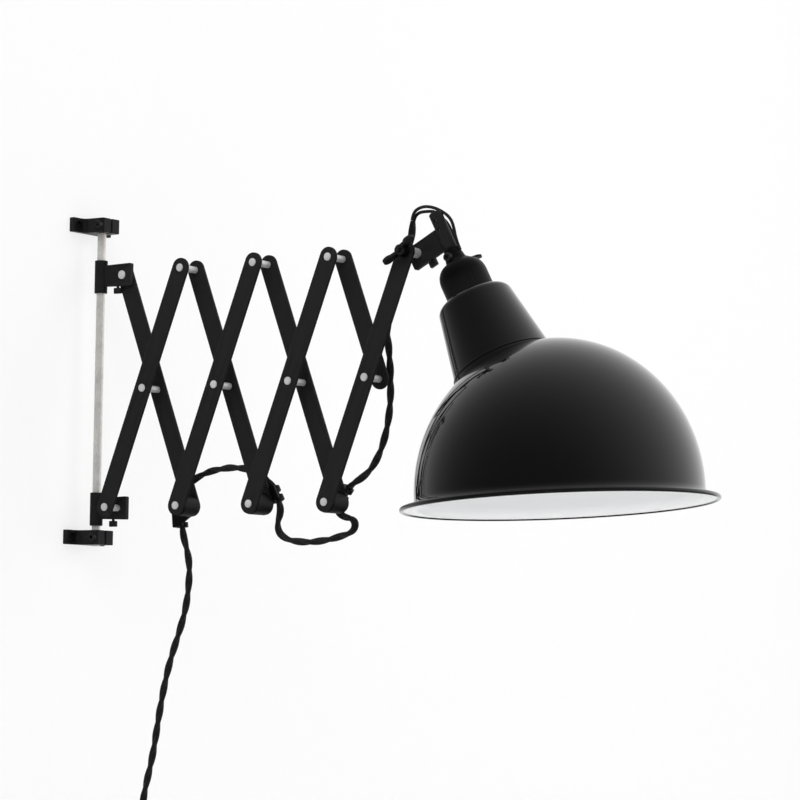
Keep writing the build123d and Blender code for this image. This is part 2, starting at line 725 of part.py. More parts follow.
# ---------------------------------------------------------------- lampholder
SLEEVE_R = SOCKET_R + 0.6
with BuildPart() as lampholder:
    with BuildSketch(head_section(SOCKET_MOUTH_T)):
        Circle(HOLDER_R)
    extrude(amount=HOLDER_TOP_T - SOCKET_MOUTH_T)
    chamfer(lampholder.faces().filter_by(GeomType.PLANE).edges(), 1.0)
    with BuildSketch(head_section(SOCKET_MOUTH_T - 1)):
        Circle(SLEEVE_R)
    extrude(amount=SOCKET_DEPTH + 3, mode=Mode.SUBTRACT)
    with BuildSketch(head_section(HOLDER_TOP_T + 1)):
        Circle(SPINDLE_R)
    extrude(amount=-5, mode=Mode.SUBTRACT)
keep(lampholder, "lampholder")

with BuildPart() as socket_contacts:
    with BuildSketch(head_section(SOCKET_MOUTH_T + 1)):
        Circle(SLEEVE_R)
        Circle(SOCKET_R, mode=Mode.SUBTRACT)
    extrude(amount=SOCKET_DEPTH - 3)
    with BuildSketch(head_section(SOCKET_MOUTH_T + SOCKET_DEPTH + 2)):
        Circle(4.0)
    extrude(amount=-2.0)
keep(socket_contacts, "socket_contacts")

RING_R = 26.0
with BuildPart() as shade_ring:
    with BuildSketch(head_section(NECK_TOP_T - SHEET)):
        Circle(RING_R)
        Circle(HOLDER_R, mode=Mode.SUBTRACT)
    extrude(amount=-5.0)
    chamfer(shade_ring.faces().filter_by(GeomType.PLANE).sort_by(HEAD_AXIS)[0].edges(), 1.0)
keep(shade_ring, "shade_ring")


# ---------------------------------------------------------------- shade: spun neck and bowl
def bowl_quarter(grown):
    """Half of the bowl's profile, from its equator to its top, grown by this much."""
    radius = BOWL_R + grown
    height = BOWL_HEIGHT + grown
    Bezier((radius, 0), (radius, QUARTER * height), (QUARTER * radius, height), (0, height))


def bowl_outer(extra):
    """The bowl's outer dome as a solid, grown by extra all round."""
    with BuildPart() as solid:
        with BuildSketch(BOWL_PLANE):
            with BuildLine():
                Line((0, 0), (BOWL_R + extra, 0))
                bowl_quarter(extra)
                Line((0, BOWL_HEIGHT + extra), (0, 0))
            make_face()
        revolve(axis=BOWL_AXIS)
    return solid.part


NECK_SLOPE = math.tan(math.radians(NECK_HALF_ANGLE))
NECK_END_T = -165.0


def neck_radius(t):
    """The neck's outer radius at this height below its shoulder."""
    return NECK_TOP_R + NECK_SLOPE * (NECK_TOP_T - NECK_SHOULDER - t)


bead_r = neck_radius(NECK_BEAD_T)
dome = bowl_outer(0.02)
with BuildPart() as shade_neck:
    with BuildSketch(HEAD_PLANE):
        with BuildLine():
            FilletPolyline(
                (TUBE_N + HOLDER_R + 0.3, NECK_TOP_T),
                (TUBE_N + neck_radius(NECK_TOP_T), NECK_TOP_T),
                (TUBE_N + neck_radius(NECK_END_T), NECK_END_T),
                (TUBE_N + neck_radius(NECK_END_T) - SHEET, NECK_END_T),
                (TUBE_N + neck_radius(NECK_TOP_T) - SHEET, NECK_TOP_T - SHEET),
                (TUBE_N + HOLDER_R + 0.3, NECK_TOP_T - SHEET),
                radius=[NECK_SHOULDER, 0.3, 0.3, NECK_SHOULDER - SHEET],
            )
            Line((TUBE_N + HOLDER_R + 0.3, NECK_TOP_T - SHEET), (TUBE_N + HOLDER_R + 0.3, NECK_TOP_T))
        make_face()
        with Locations((TUBE_N + bead_r - 0.3, NECK_BEAD_T)):
            Circle(1.3)
    revolve(axis=HEAD_AXIS)
    add(dome, mode=Mode.SUBTRACT)
keep(shade_neck, "shade_neck")

with BuildPart() as shade_bowl:
    with BuildSketch(BOWL_PLANE):
        lip_centre = BOWL_R + LIP_R
        inner_lip_r = LIP_R + BOWL_SHEET
        with BuildLine():
            bowl_quarter(0)
            Line((0, BOWL_HEIGHT), (0, BOWL_HEIGHT - BOWL_SHEET))
            bowl_quarter(-BOWL_SHEET)
            CenterArc((lip_centre, 0), inner_lip_r, 180, 107)
            Line(
                (lip_centre + inner_lip_r * math.cos(math.radians(287)), inner_lip_r * math.sin(math.radians(287))),
                (lip_centre + LIP_R * math.cos(math.radians(287)), LIP_R * math.sin(math.radians(287))),
            )
            CenterArc((lip_centre, 0), LIP_R, 180, 107)
        make_face()
        bead_middle = (LIP_R + inner_lip_r) / 2
        with Locations(
            (
                lip_centre + bead_middle * math.cos(math.radians(287)),
                bead_middle * math.sin(math.radians(287)),
            )
        ):
            Circle(BEAD_R)
    revolve(axis=BOWL_AXIS)
    with BuildSketch(head_section(-120.0)):
        Circle(neck_radius(-150.0) - SHEET - 0.5)
    extrude(amount=-50, mode=Mode.SUBTRACT)
keep(shade_bowl, "shade_bowl")


# ---------------------------------------------------------------- cord routes
def corner_radii(points):
    """The largest arc for each corner of a route: 0.45 of the shorter run over the tangent of half the turn."""
    radii = []
    for before, corner, after in zip(points, points[1:], points[2:]):
        run_in = Vector(*corner) - Vector(*before)
        run_out = Vector(*after) - Vector(*corner)
        half_turn = math.radians(run_in.get_angle(run_out)) / 2
        radii.append(0.45 * min(run_in.length, run_out.length) / math.tan(half_turn))
    return radii


def tube_along(points, radius, label):
    """A round tube whose middle follows the route, with tangent arcs at its corners."""
    radii = corner_radii(points)
    with BuildPart() as tube:
        with BuildLine() as route:
            FilletPolyline(*points, radius=radii)
        with BuildSketch(Plane(origin=route.line @ 0, z_dir=route.line % 0)):
            Circle(radius)
        sweep(path=route.line)
    length = sum(edge.length for edge in route.edges())
    share = tube.part.volume / (math.pi * radius**2 * length)
    rounded = ", ".join(f"{value:.0f}" for value in radii)
    print(f"{label}: length {length:.0f} mm, volume share {share:.4f}, radii {rounded}")
    return tube


def heading(number, distance):
    """The point this far along the cord's heading from the middle of a clip's jaws, as (X, Y, Z)."""
    hold = held_at(number)
    turn = math.radians(CLIP_HOLDS[number][1])
    return (hold[0] + distance * math.cos(turn), CORD_Y, hold[1] + distance * math.sin(turn))


# (X, Z) of the points between the clips, in the plane Y = CORD_Y
SWAG_1 = [
    (124.0, -115.0), (135.5, -104.0), (151.0, -97.5), (170.0, -93.8),
    (190.0, -92.8), (208.0, -95.5), (223.0, -102.0),
]
SWAG_2 = [
    (247.6, -139.5), (243.5, -150.0), (245.5, -160.5), (256.0, -167.0), (273.0, -169.8),
    (291.0, -169.8), (309.0, -167.6), (323.5, -164.4), (334.5, -161.3), (339.5, -157.0),
    (339.8, -150.8), (335.0, -146.8), (327.0, -145.8), (319.5, -141.5), (317.5, -135.0),
]
ARM_RUN = [
    (349.5, -106.5), (363.5, -93.0), (374.0, -70.5), (380.0, -42.0), (381.6, -14.0),
    (380.8, 14.0), (379.6, 40.0), (382.0, 62.0), (388.0, 82.0), (394.5, 100.0),
    (400.0, 116.0), (403.5, 131.0), (404.5, 145.0),
]
DROP = [
    (128.5, -175.5), (132.3, -193.0), (131.5, -213.0), (128.8, -233.0), (123.5, -251.0),
    (117.0, -268.0), (110.6, -285.0), (105.0, -303.0), (100.4, -322.0), (96.6, -341.0),
    (93.2, -360.0), (89.8, -380.0), (85.0, -400.0), (79.4, -420.0),
]


def in_lane(points):
    """The route points in the cord's plane behind the bars."""
    return [(x, CORD_Y, z) for x, z in points]


swag_1_route = [heading(1, 0), heading(1, -15), *in_lane(SWAG_1), heading(2, -12), heading(2, 0)]
keep(tube_along(swag_1_route, CORD_R, "cord_swag_1"), "cord_swag_1")
swag_2_route = [heading(2, 0), heading(2, 9), *in_lane(SWAG_2), heading(3, -9), heading(3, 0)]
keep(tube_along(swag_2_route, CORD_R, "cord_swag_2"), "cord_swag_2")
arm_run_route = [heading(3, 0), heading(3, 11), *in_lane(ARM_RUN)]
keep(tube_along(arm_run_route, CORD_R, "cord_arm_run"), "cord_arm_run")
drop_end = [(76.0, -439.3), (81.1, -448.1), (89.9, COIL_TOP[1]), COIL_TOP]
drop_route = [heading(1, 0), heading(1, 15), *in_lane(DROP), *in_lane(drop_end)]
keep(tube_along(drop_route, CORD_R, "cord_drop"), "cord_drop")


# ---------------------------------------------------------------- the two conductors at the head
def ferrule_entry(across, back):
    """A point on the ferrule's shoulder where a conductor goes in, and one straight above it."""
    return [tuple(HEAD_PLANE.from_local_coords((TUBE_N + across, t, -back))) for t in (-12.0, -22.5)]


FRONT_CONDUCTOR = [
    (404.6, 12.3, 145.3),
    (405.4, 12.1, 153.0),
    (409.5, 11.0, 160.0),
    (418.0, 9.0, 163.5),
    (429.0, 6.5, 163.5),
    (440.5, 4.0, 159.0),
    (452.5, 2.0, 151.5),
    (460.5, -1.0, 141.0),
]
REAR_CONDUCTOR = [
    (404.6, 15.7, 145.3),
    (405.6, 15.9, 151.5),
    (410.0, 16.4, 157.0),
    (418.5, 17.0, 157.5),
    (428.5, 17.5, 153.5),
    (437.5, 16.5, 146.5),
    (447.0, 14.5, 139.0),
]
with BuildPart() as cord_head_loop:
    for points, across, back in ((FRONT_CONDUCTOR, 9.5, -1.0), (REAR_CONDUCTOR, 3.5, 8.0)):
        route = [*points, *ferrule_entry(across, back)]
        add(tube_along(route, CONDUCTOR_R, "cord_head_loop").part)
keep(cord_head_loop, "cord_head_loop")


# ---------------------------------------------------------------- the put-away coil, its tie and the plug
def spiral_point(turns):
    """A point of the coil's middle line this many turns from its start, which is at the top."""
    climb_end = LAYER_1_TURNS + CLIMB_TURNS
    if turns <= LAYER_1_TURNS:
        radius = COIL_OUTER_R - TURN_PITCH * turns
        back = 0.0
    elif turns <= climb_end:
        share = (turns - LAYER_1_TURNS) / CLIMB_TURNS
        radius = COIL_INNER_R - CLIMB_DIP * math.sin(math.pi * share)
        back = TURN_PITCH * share * share * (3 - 2 * share)
    else:
        radius = COIL_INNER_R + TURN_PITCH * (turns - climb_end)
        back = TURN_PITCH
    angle = math.radians(90 - 360 * turns)
    centre_z = COIL_TOP[1] - COIL_OUTER_R
    return Vector(
        COIL_TOP[0] + radius * math.cos(angle), CORD_Y + back, centre_z + radius * math.sin(angle)
    )


def spiral_heading(turns, total):
    """The coil's direction there, level at both ends of each layer."""
    step = 1e-4
    ahead = spiral_point(min(turns + step, total))
    behind = spiral_point(max(turns - step, 0))
    return (ahead - behind).normalized()


def biarc(start, start_heading, end, end_heading):
    """Two arcs that join start to end and keep both headings."""
    gap = end - start
    both = start_heading + end_heading
    bend = 2 * (1 - start_heading.dot(end_heading))
    reach = (-gap.dot(both) + math.sqrt(gap.dot(both) ** 2 + bend * gap.dot(gap))) / bend
    middle = (start + start_heading * reach + end - end_heading * reach) / 2
    first = TangentArc(start, middle, tangent=start_heading)
    TangentArc(middle, end, tangent=first % 1)


TOTAL_TURNS = LAYER_1_TURNS + CLIMB_TURNS + LAYER_2_TURNS
QUARTERS = round(TOTAL_TURNS * 4)
with BuildPart() as cord_coil:
    with BuildLine() as coil_route:
        knots = [quarter / 4 for quarter in range(QUARTERS + 1)]
        headings = [spiral_heading(turn, TOTAL_TURNS) for turn in knots]
        headings[0] = Vector(1, 0, 0)
        headings[-1] = Vector(0, 0, -1)
        for turn, following, ahead, later in zip(knots, knots[1:], headings, headings[1:]):
            biarc(spiral_point(turn), ahead, spiral_point(following), later)
        coil_end = spiral_point(TOTAL_TURNS)
        Line(coil_end, coil_end - Vector(0, 0, PLUG_TAIL))
    with BuildSketch(Plane(origin=coil_route.line @ 0, z_dir=(1, 0, 0))):
        Circle(CORD_R)
    sweep(path=coil_route.line)
keep(cord_coil, "cord_coil")
coil_length = sum(edge.length for edge in coil_route.edges())
print(
    f"cord_coil: length {coil_length:.0f} mm, "
    f"volume share {cord_coil.part.volume / (math.pi * CORD_R**2 * coil_length):.4f}"
)
samples = [spiral_point(TOTAL_TURNS * i / 600) for i in range(601)]
apart = 600 * 0.5 / TOTAL_TURNS
least = min(
    (a - b).length for i, a in enumerate(samples) for j, b in enumerate(samples) if j - i > apart
)
print(f"cord_coil: least gap to itself {least - 2 * CORD_R:.2f} mm")

TIE_WIDTH = 5.0
TIE_THICKNESS = 1.2
tie_low = COIL_TOP[1] - COIL_OUTER_R + COIL_INNER_R - CORD_R - 1.2
tie_high = COIL_TOP[1] + CORD_R + 0.5
with BuildPart() as coil_tie:
    tie_middle = (COIL_TOP[0] + TIE_WIDTH / 2, CORD_Y + TURN_PITCH / 2, (tie_low + tie_high) / 2)
    with BuildSketch(Plane(origin=tie_middle, x_dir=(0, 1, 0), z_dir=(1, 0, 0))):
        inner_width = TURN_PITCH + 2 * CORD_R + 0.8
        inner_height = tie_high - tie_low
        RectangleRounded(inner_width + 2 * TIE_THICKNESS, inner_height + 2 * TIE_THICKNESS, 3.0)
        RectangleRounded(inner_width, inner_height, 1.8, mode=Mode.SUBTRACT)
    extrude(amount=-TIE_WIDTH)
    with Locations((COIL_TOP[0], tie_middle[1] - inner_width / 2 - 2.2, tie_high - 8)):
        Box(6.5, 4.0, 5.5)
keep(coil_tie, "coil_tie")

PLUG_TOP_Z = coil_end.Z - PLUG_TAIL
PIN_SPACING = 19.0
PLUG_PIN_R = 2.0
PLUG_PIN_LENGTH = 19.0
with BuildPart() as plug_body:
    outline = (
        (PLUG_TOP_Z, 9.0, 9.0, 4.4),
        (PLUG_TOP_Z - 12.0, 11.0, 11.0, 5.0),
        (PLUG_TOP_Z - 22.0, 27.0, 13.0, 5.5),
        (PLUG_TOP_Z - 42.0, 34.0, 13.7, 6.0),
    )
    for height, width, depth, corner in outline:
        with BuildSketch(Plane(origin=(coil_end.X, coil_end.Y, height), z_dir=(0, 0, 1))):
            RectangleRounded(width, depth, corner)
    loft(ruled=True)
keep(plug_body, "plug_body")

with BuildPart() as plug_pins:
    with BuildSketch(Plane(origin=(coil_end.X, coil_end.Y, outline[-1][0]), z_dir=(0, 0, -1))):
        with GridLocations(PIN_SPACING, 1, 2, 1):
            Circle(PLUG_PIN_R)
    extrude(amount=PLUG_PIN_LENGTH)
    fillet(plug_pins.faces().sort_by(Axis.Z)[:2].edges(), 1.2)
keep(plug_pins, "plug_pins")
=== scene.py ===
"""Accordion wall lamp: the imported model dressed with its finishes, its spun shade and its twisted cord.

Metres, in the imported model's own frame: the wall is the plane X = 0, +X leaves it and +Z is up.
"""

import sys

import json
import logging
import math
from dataclasses import dataclass, field
from enum import Enum

import bpy
from mathutils import Matrix, Vector

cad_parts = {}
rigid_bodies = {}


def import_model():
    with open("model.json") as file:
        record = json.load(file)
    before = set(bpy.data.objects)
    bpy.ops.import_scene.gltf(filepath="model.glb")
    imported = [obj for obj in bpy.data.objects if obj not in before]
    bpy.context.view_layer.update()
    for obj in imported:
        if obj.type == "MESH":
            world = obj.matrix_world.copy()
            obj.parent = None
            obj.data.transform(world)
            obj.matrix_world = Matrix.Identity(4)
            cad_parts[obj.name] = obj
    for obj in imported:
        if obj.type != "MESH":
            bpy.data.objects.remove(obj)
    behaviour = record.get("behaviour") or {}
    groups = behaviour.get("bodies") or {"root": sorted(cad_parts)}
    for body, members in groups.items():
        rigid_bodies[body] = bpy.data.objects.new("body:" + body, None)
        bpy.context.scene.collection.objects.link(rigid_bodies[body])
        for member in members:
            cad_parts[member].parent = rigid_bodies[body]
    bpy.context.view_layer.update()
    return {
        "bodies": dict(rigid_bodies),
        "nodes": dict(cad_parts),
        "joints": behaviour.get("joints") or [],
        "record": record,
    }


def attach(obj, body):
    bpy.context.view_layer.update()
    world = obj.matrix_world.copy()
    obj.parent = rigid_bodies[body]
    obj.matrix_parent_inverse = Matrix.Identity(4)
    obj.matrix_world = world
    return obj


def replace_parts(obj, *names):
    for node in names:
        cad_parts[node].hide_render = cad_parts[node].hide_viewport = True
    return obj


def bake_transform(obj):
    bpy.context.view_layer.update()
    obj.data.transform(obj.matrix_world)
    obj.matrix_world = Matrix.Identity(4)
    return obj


LOG = logging.getLogger("accordion_wall_lamp")
MM = 0.001
WHITE = (1.0, 1.0, 1.0, 1.0)
HALVINGS = 30
Point = tuple[float, float, float]
Colour = tuple[float, float, float]
Face = tuple[int, ...]


# ---------------------------------------------------------------- sizes shared by the sub-assemblies
@dataclass(frozen=True)
class ArmLayout:
    """Where the arm's pivots stand, in millimetres."""

    bar_length: float = 260.0
    lean: float = 21.0
    first_x: float = 48.5
    bottom_z: float = -132.5

    def pivot_x(self, cell: int) -> float:
        """X of the pivots at this cell border."""
        return self.first_x + self.bar_length * math.sin(math.radians(self.lean)) * cell

    def middle_x(self, cell: int) -> float:
        """X of the crossing in the middle of this cell."""
        return (self.pivot_x(cell - 1) + self.pivot_x(cell)) / 2

    @property
    def top_z(self) -> float:
        """Z of the upper pivots."""
        return self.bottom_z + self.bar_length * math.cos(math.radians(self.lean))

    @property
    def middle_z(self) -> float:
        """Z of the crossings."""
        return (self.bottom_z + self.top_z) / 2


@dataclass(frozen=True)
class LeaningFrame:
    """A local frame in the XZ plane: n points away from the arm, t up along the leaning axis, b to -Y."""

    origin: Point
    lean: float

    @property
    def across(self) -> Vector:
        """The unit vector along n."""
        turn = math.radians(self.lean)
        return Vector((math.cos(turn), 0.0, math.sin(turn)))

    @property
    def along(self) -> Vector:
        """The unit vector along t."""
        turn = math.radians(self.lean)
        return Vector((-math.sin(turn), 0.0, math.cos(turn)))

    def point(self, n: float, t: float, b: float = 0.0) -> Vector:
        """A point of the frame.

        Args:
            n: Distance from the axis, away from the arm, in millimetres.
            t: Height along the axis, in millimetres.
            b: Distance towards -Y, in millimetres.

        Returns:
            The point in the row frame, in metres.
        """
        base = Vector(self.origin)
        return (base + self.across * n + self.along * t + Vector((0.0, -b, 0.0))) * MM

    def ring_point(self, radius: float, t: float, angle: float) -> Vector:
        """The point at this radius, height and angle, in metres; angle 0 is along n and 90 degrees is -Y."""
        return self.point(radius * math.cos(angle), t, radius * math.sin(angle))


ARM = ArmLayout()
HEAD_LEAN = 28.0
TUBE_N = 35.0
HEAD = LeaningFrame(
    origin=(
        ARM.pivot_x(4) + TUBE_N * math.cos(math.radians(HEAD_LEAN)),
        0.0,
        ARM.top_z + TUBE_N * math.sin(math.radians(HEAD_LEAN)),
    ),
    lean=HEAD_LEAN,
)
BOWL = LeaningFrame(origin=(587.0, 0.0, -128.5), lean=3.6)


# ---------------------------------------------------------------- node trees
class NodeTree:
    """A node tree while it is written."""

    def __init__(self, tree: bpy.types.NodeTree) -> None:
        """Starts from an empty tree."""
        self.tree = tree
        self.tree.nodes.clear()

    def add(self, kind: str, values: dict[str, object] | None = None, **settings: object) -> bpy.types.Node:
        """Adds a node.

        Args:
            kind: The node's type name.
            values: Socket names or numbers, with a plain value or an output to link.
            **settings: Properties of the node.

        Returns:
            The new node.
        """
        node = self.tree.nodes.new(kind)
        for key, value in settings.items():
            setattr(node, key, value)
        for key, value in (values or {}).items():
            self.put(node.inputs[int(key) if key.isdigit() else key], value)
        return node

    def put(self, socket: bpy.types.NodeSocket, value: object) -> None:
        """Sets a socket to a plain value, or links an output to it."""
        if isinstance(value, bpy.types.NodeSocket):
            self.link(value, socket)
        else:
            socket.default_value = value

    def link(self, source: bpy.types.NodeSocket, target: bpy.types.NodeSocket) -> None:
        """Joins an output to an input."""
        self.tree.links.new(source, target)

    def ramp(
        self, value: bpy.types.NodeSocket, low: float, high: float, out_low: float, out_high: float
    ) -> bpy.types.NodeSocket:
        """Maps a value from one range to another and stops at its ends."""
        limits = {"From Min": low, "From Max": high, "To Min": out_low, "To Max": out_high}
        return self.add("ShaderNodeMapRange", {"Value": value, **limits}).outputs[0]

    def math(self, operation: str, first: object, second: object = 0.0) -> bpy.types.NodeSocket:
        """One step of arithmetic."""
        return self.add("ShaderNodeMath", {"0": first, "1": second}, operation=operation).outputs[0]

    def mix_shaders(self, share: object, first: object, second: object) -> bpy.types.NodeSocket:
        """A shader between two."""
        return self.add("ShaderNodeMixShader", {"0": share, "1": first, "2": second}).outputs[0]


class MaterialTree(NodeTree):
    """A new material's tree, with its principled shader and output."""

    def __init__(self, name: str) -> None:
        """Starts a material."""
        self.material = bpy.data.materials.new(name)
        self.material.use_nodes = True
        super().__init__(self.material.node_tree)
        self.output = self.add("ShaderNodeOutputMaterial")
        self.shader = self.add("ShaderNodeBsdfPrincipled")
        self.link(self.shader.outputs[0], self.output.inputs[0])

    def plain(self, **values: object) -> None:
        """Sets the principled shader's own sockets, with _ for a space in their names."""
        for key, value in values.items():
            self.put(self.shader.inputs[key.replace("_", " ")], value)

    def place(self) -> bpy.types.NodeSocket:
        """The point on the object, in metres."""
        return self.add("ShaderNodeTexCoord").outputs["Object"]

    def noise(
        self, where: object, scale: float, detail: float = 3.0, rough: float = 0.55
    ) -> bpy.types.NodeSocket:
        """A grey cloud of about this many grains to the metre."""
        values = {"Vector": where, "Scale": scale, "Detail": detail, "Roughness": rough}
        return self.add("ShaderNodeTexNoise", values).outputs["Fac"]

    def mix(self, share: object, first: object, second: object) -> bpy.types.NodeSocket:
        """A colour between two."""
        return self.add("ShaderNodeMix", {"0": share, "6": first, "7": second}, data_type="RGBA").outputs[2]

    def stain(
        self, base: object, colour: object, cloud: object, low: float, high: float, share: float = 1.0
    ) -> bpy.types.NodeSocket:
        """Lays a colour over a base where a cloud's value passes from low to high, up to this share."""
        return self.mix(self.ramp(cloud, low, high, 0.0, share), base, colour)

    def bump(self, height: bpy.types.NodeSocket, depth_mm: float, strength: float = 1.0) -> object:
        """A normal from a height of this many millimetres."""
        values = {"Height": height, "Distance": depth_mm * MM, "Strength": strength}
        return self.add("ShaderNodeBump", values).outputs[0]


def rgba(colour: Colour, shade: float = 1.0) -> tuple[float, float, float, float]:
    """A colour with its alpha, made lighter or darker by this factor."""
    return (colour[0] * shade, colour[1] * shade, colour[2] * shade, 1.0)


# ---------------------------------------------------------------- finishes
class Slot(Enum):
    """The record's material slots."""

    BLACK_STEEL = "black_steel"
    ENAMEL = "enamel_black"
    NICKEL = "nickel_rod"
    ZINC = "zinc_steel"
    BRASS = "brass_socket"
    PLASTIC = "black_plastic"
    CORD = "cord_cloth"


@dataclass(frozen=True)
class Finish:
    """What every finish has: a name, a colour and a roughness, and a slot unless it is the backdrop's."""

    name: str
    colour: Colour
    roughness: float
    slot: Slot | None = None

    def material(self) -> bpy.types.Material:
        """The finish as a material, made once and then shared."""
        found = bpy.data.materials.get(self.name)
        if found is not None:
            return found
        tree = MaterialTree(self.name)
        self.write(tree)
        return tree.material

    def write(self, tree: MaterialTree) -> None:
        """Writes the nodes; each finish has its own."""
        raise NotImplementedError


@dataclass(frozen=True)
class PowderCoat(Finish):
    """Satin black powder coat: a fine orange peel, cloudy gloss, and slightly lighter sharp edges."""

    peel_mm: float = 0.035
    specular: float = 0.1
    sharp_edge_colour: Colour = (0.028, 0.028, 0.029)

    def write(self, tree: MaterialTree) -> None:
        """Writes the coat's nodes."""
        where = tree.place()
        cloud = tree.noise(where, 38.0, 4.0)
        peel = tree.noise(where, 1500.0, 2.0, 0.45)
        dust = tree.noise(where, 5200.0, 1.0)
        sharp_edges = tree.add("ShaderNodeNewGeometry").outputs["Pointiness"]
        base = tree.stain(rgba(self.colour, 0.82), rgba(self.colour, 1.25), cloud, 0.35, 0.7)
        base = tree.stain(base, rgba(self.colour, 2.0), dust, 0.62, 0.78, 0.5)
        # Lighter on sharp edges, where the pointiness is high.
        base = tree.stain(base, rgba(self.sharp_edge_colour), sharp_edges, 0.52, 0.60, 0.55)
        rough = tree.ramp(cloud, 0.3, 0.75, self.roughness - 0.05, self.roughness + 0.08)
        tree.plain(
            Base_Color=base,
            Roughness=rough,
            Normal=tree.bump(peel, self.peel_mm),
            Specular_IOR_Level=self.specular,
        )


@dataclass(frozen=True)
class GlossEnamel(Finish):
    """Fired enamel on spun steel: deep gloss over faint spinning rings and a slow waviness."""

    wave_mm: float = 0.04
    coat: float = 0.5
    mottle: float = 0.1

    def write(self, tree: MaterialTree) -> None:
        """Writes the enamel's nodes."""
        where = tree.place()
        wave = tree.noise(where, 16.0, 2.0, 0.4)
        ripple = tree.noise(where, 240.0, 2.0, 0.4)
        haze = tree.noise(where, 60.0, 5.0)
        pores = tree.noise(where, 3800.0, 1.0)
        height = tree.math("ADD", wave, tree.math("MULTIPLY", ripple, 0.03))
        base = tree.stain(rgba(self.colour, 1 - self.mottle), rgba(self.colour), haze, 0.3, 0.75)
        base = tree.stain(base, rgba(self.colour, 0.7), pores, 0.7, 0.8, self.mottle * 2)
        rough = tree.ramp(haze, 0.3, 0.8, self.roughness, self.roughness + 0.05)
        tree.plain(
            Base_Color=base,
            Roughness=rough,
            Normal=tree.bump(height, self.wave_mm),
            Coat_Weight=self.coat,
            Coat_Roughness=0.04,
            Specular_IOR_Level=0.35,
        )


@dataclass(frozen=True)
class PlatedMetal(Finish):
    """Plated metal, drawn or turned: fine lines along one way and a soft tarnish."""

    line_stretch: Point = (1.0, 1.0, 0.02)
    lines: float = 2600.0
    metallic: float = 1.0

    def write(self, tree: MaterialTree) -> None:
        """Writes the plating's nodes."""
        where = tree.place()
        stretched = tree.add("ShaderNodeMapping", {"Vector": where, "Scale": self.line_stretch}).outputs[0]
        lines = tree.noise(stretched, self.lines, 2.0, 0.6)
        cloud = tree.noise(where, 70.0, 4.0)
        base = tree.stain(rgba(self.colour), rgba(self.colour, 0.78), cloud, 0.35, 0.75)
        base = tree.stain(base, rgba(self.colour, 0.6), lines, 0.4, 0.7, 0.3)
        rough = tree.ramp(lines, 0.3, 0.7, self.roughness - 0.06, self.roughness + 0.1)
        tree.plain(
            Base_Color=base,
            Roughness=rough,
            Metallic=self.metallic,
            Normal=tree.bump(lines, 0.012),
        )


@dataclass(frozen=True)
class MouldedPlastic(Finish):
    """Black moulded plastic with a fine spark texture."""

    grain_mm: float = 0.05

    def write(self, tree: MaterialTree) -> None:
        """Writes the plastic's nodes."""
        where = tree.place()
        grain = tree.noise(where, 2600.0, 2.0, 0.5)
        cloud = tree.noise(where, 90.0, 3.0)
        base = tree.stain(rgba(self.colour, 0.8), rgba(self.colour, 1.3), cloud, 0.3, 0.75)
        rough = tree.ramp(grain, 0.3, 0.7, self.roughness - 0.08, self.roughness + 0.08)
        tree.plain(
            Base_Color=base,
            Roughness=rough,
            Normal=tree.bump(grain, self.grain_mm),
            Specular_IOR_Level=0.2,
        )


@dataclass(frozen=True)
class BraidedCloth(Finish):
    """Textile braid over a round core: crossed yarns by the strand's own UV, with painted shade in the
    weave's hollows and a soft sheen.
    """

    yarns: float = 8.0
    rise_mm: float = 0.3

    def write(self, tree: MaterialTree) -> None:
        """Writes the braid's nodes; U runs once round the strand, V is its length in braid pitches."""
        uv = tree.add("ShaderNodeUVMap", uv_map="braid").outputs[0]
        split = tree.add("ShaderNodeSeparateXYZ", {"0": uv})
        around = tree.math("MULTIPLY", split.outputs[0], self.yarns * 2 * math.pi)
        run = tree.math("MULTIPLY", split.outputs[1], self.yarns * 2 * math.pi)
        left = tree.math("SINE", tree.math("ADD", around, run))
        right = tree.math("SINE", tree.math("SUBTRACT", around, run))
        weave = tree.math("MAXIMUM", left, right)
        where = tree.place()
        fibre = tree.noise(where, 6000.0, 2.0, 0.6)
        cloud = tree.noise(where, 120.0, 3.0)
        height = tree.math("ADD", weave, tree.math("MULTIPLY", fibre, 0.4))
        # Painted shade and light by the weave's height: darker in the hollows between the yarns, lighter on
        # their crowns.
        base = tree.stain(rgba(self.colour, 0.35), rgba(self.colour, 1.3), weave, 0.0, 1.0)
        base = tree.stain(base, rgba(self.colour, 1.9), cloud, 0.4, 0.75, 0.4)
        base = tree.stain(base, rgba(self.colour, 2.6), fibre, 0.6, 0.75, 0.3)
        tree.plain(
            Base_Color=base,
            Roughness=tree.ramp(fibre, 0.3, 0.7, self.roughness - 0.08, self.roughness + 0.08),
            Normal=tree.bump(height, self.rise_mm, 0.8),
            Sheen_Weight=0.25,
            Sheen_Roughness=0.5,
            Sheen_Tint=rgba((0.35, 0.35, 0.36)),
            Specular_IOR_Level=0.2,
        )


@dataclass(frozen=True)
class BackdropPaint(Finish):
    """Matt white of the wall and floor: white to the camera, dim in the gloss, with a part of the shadow."""

    shadow: float = 0.35
    gloss: float = 0.2
    open_back: bool = False

    def write(self, tree: MaterialTree) -> None:
        """Writes the paint's nodes."""
        path = tree.add("ShaderNodeLightPath")
        grain = tree.noise(tree.place(), 3.0, 2.0)
        paint = tree.mix(grain, rgba(self.colour), rgba(self.colour, 0.997))
        paint = tree.mix(path.outputs["Is Glossy Ray"], paint, rgba(self.colour, self.gloss))
        tree.plain(Base_Color=paint, Roughness=self.roughness, Specular_IOR_Level=0.0)
        white = tree.add("ShaderNodeEmission", {"Color": WHITE, "Strength": 1.0}).outputs[0]
        share = tree.math("MULTIPLY", path.outputs["Is Camera Ray"], 1.0 - self.shadow)
        result = tree.mix_shaders(share, tree.shader.outputs[0], white)
        if self.open_back:
            behind = tree.add("ShaderNodeNewGeometry").outputs["Backfacing"]
            result = tree.mix_shaders(behind, result, tree.add("ShaderNodeBsdfTransparent").outputs[0])
        tree.link(result, tree.output.inputs[0])


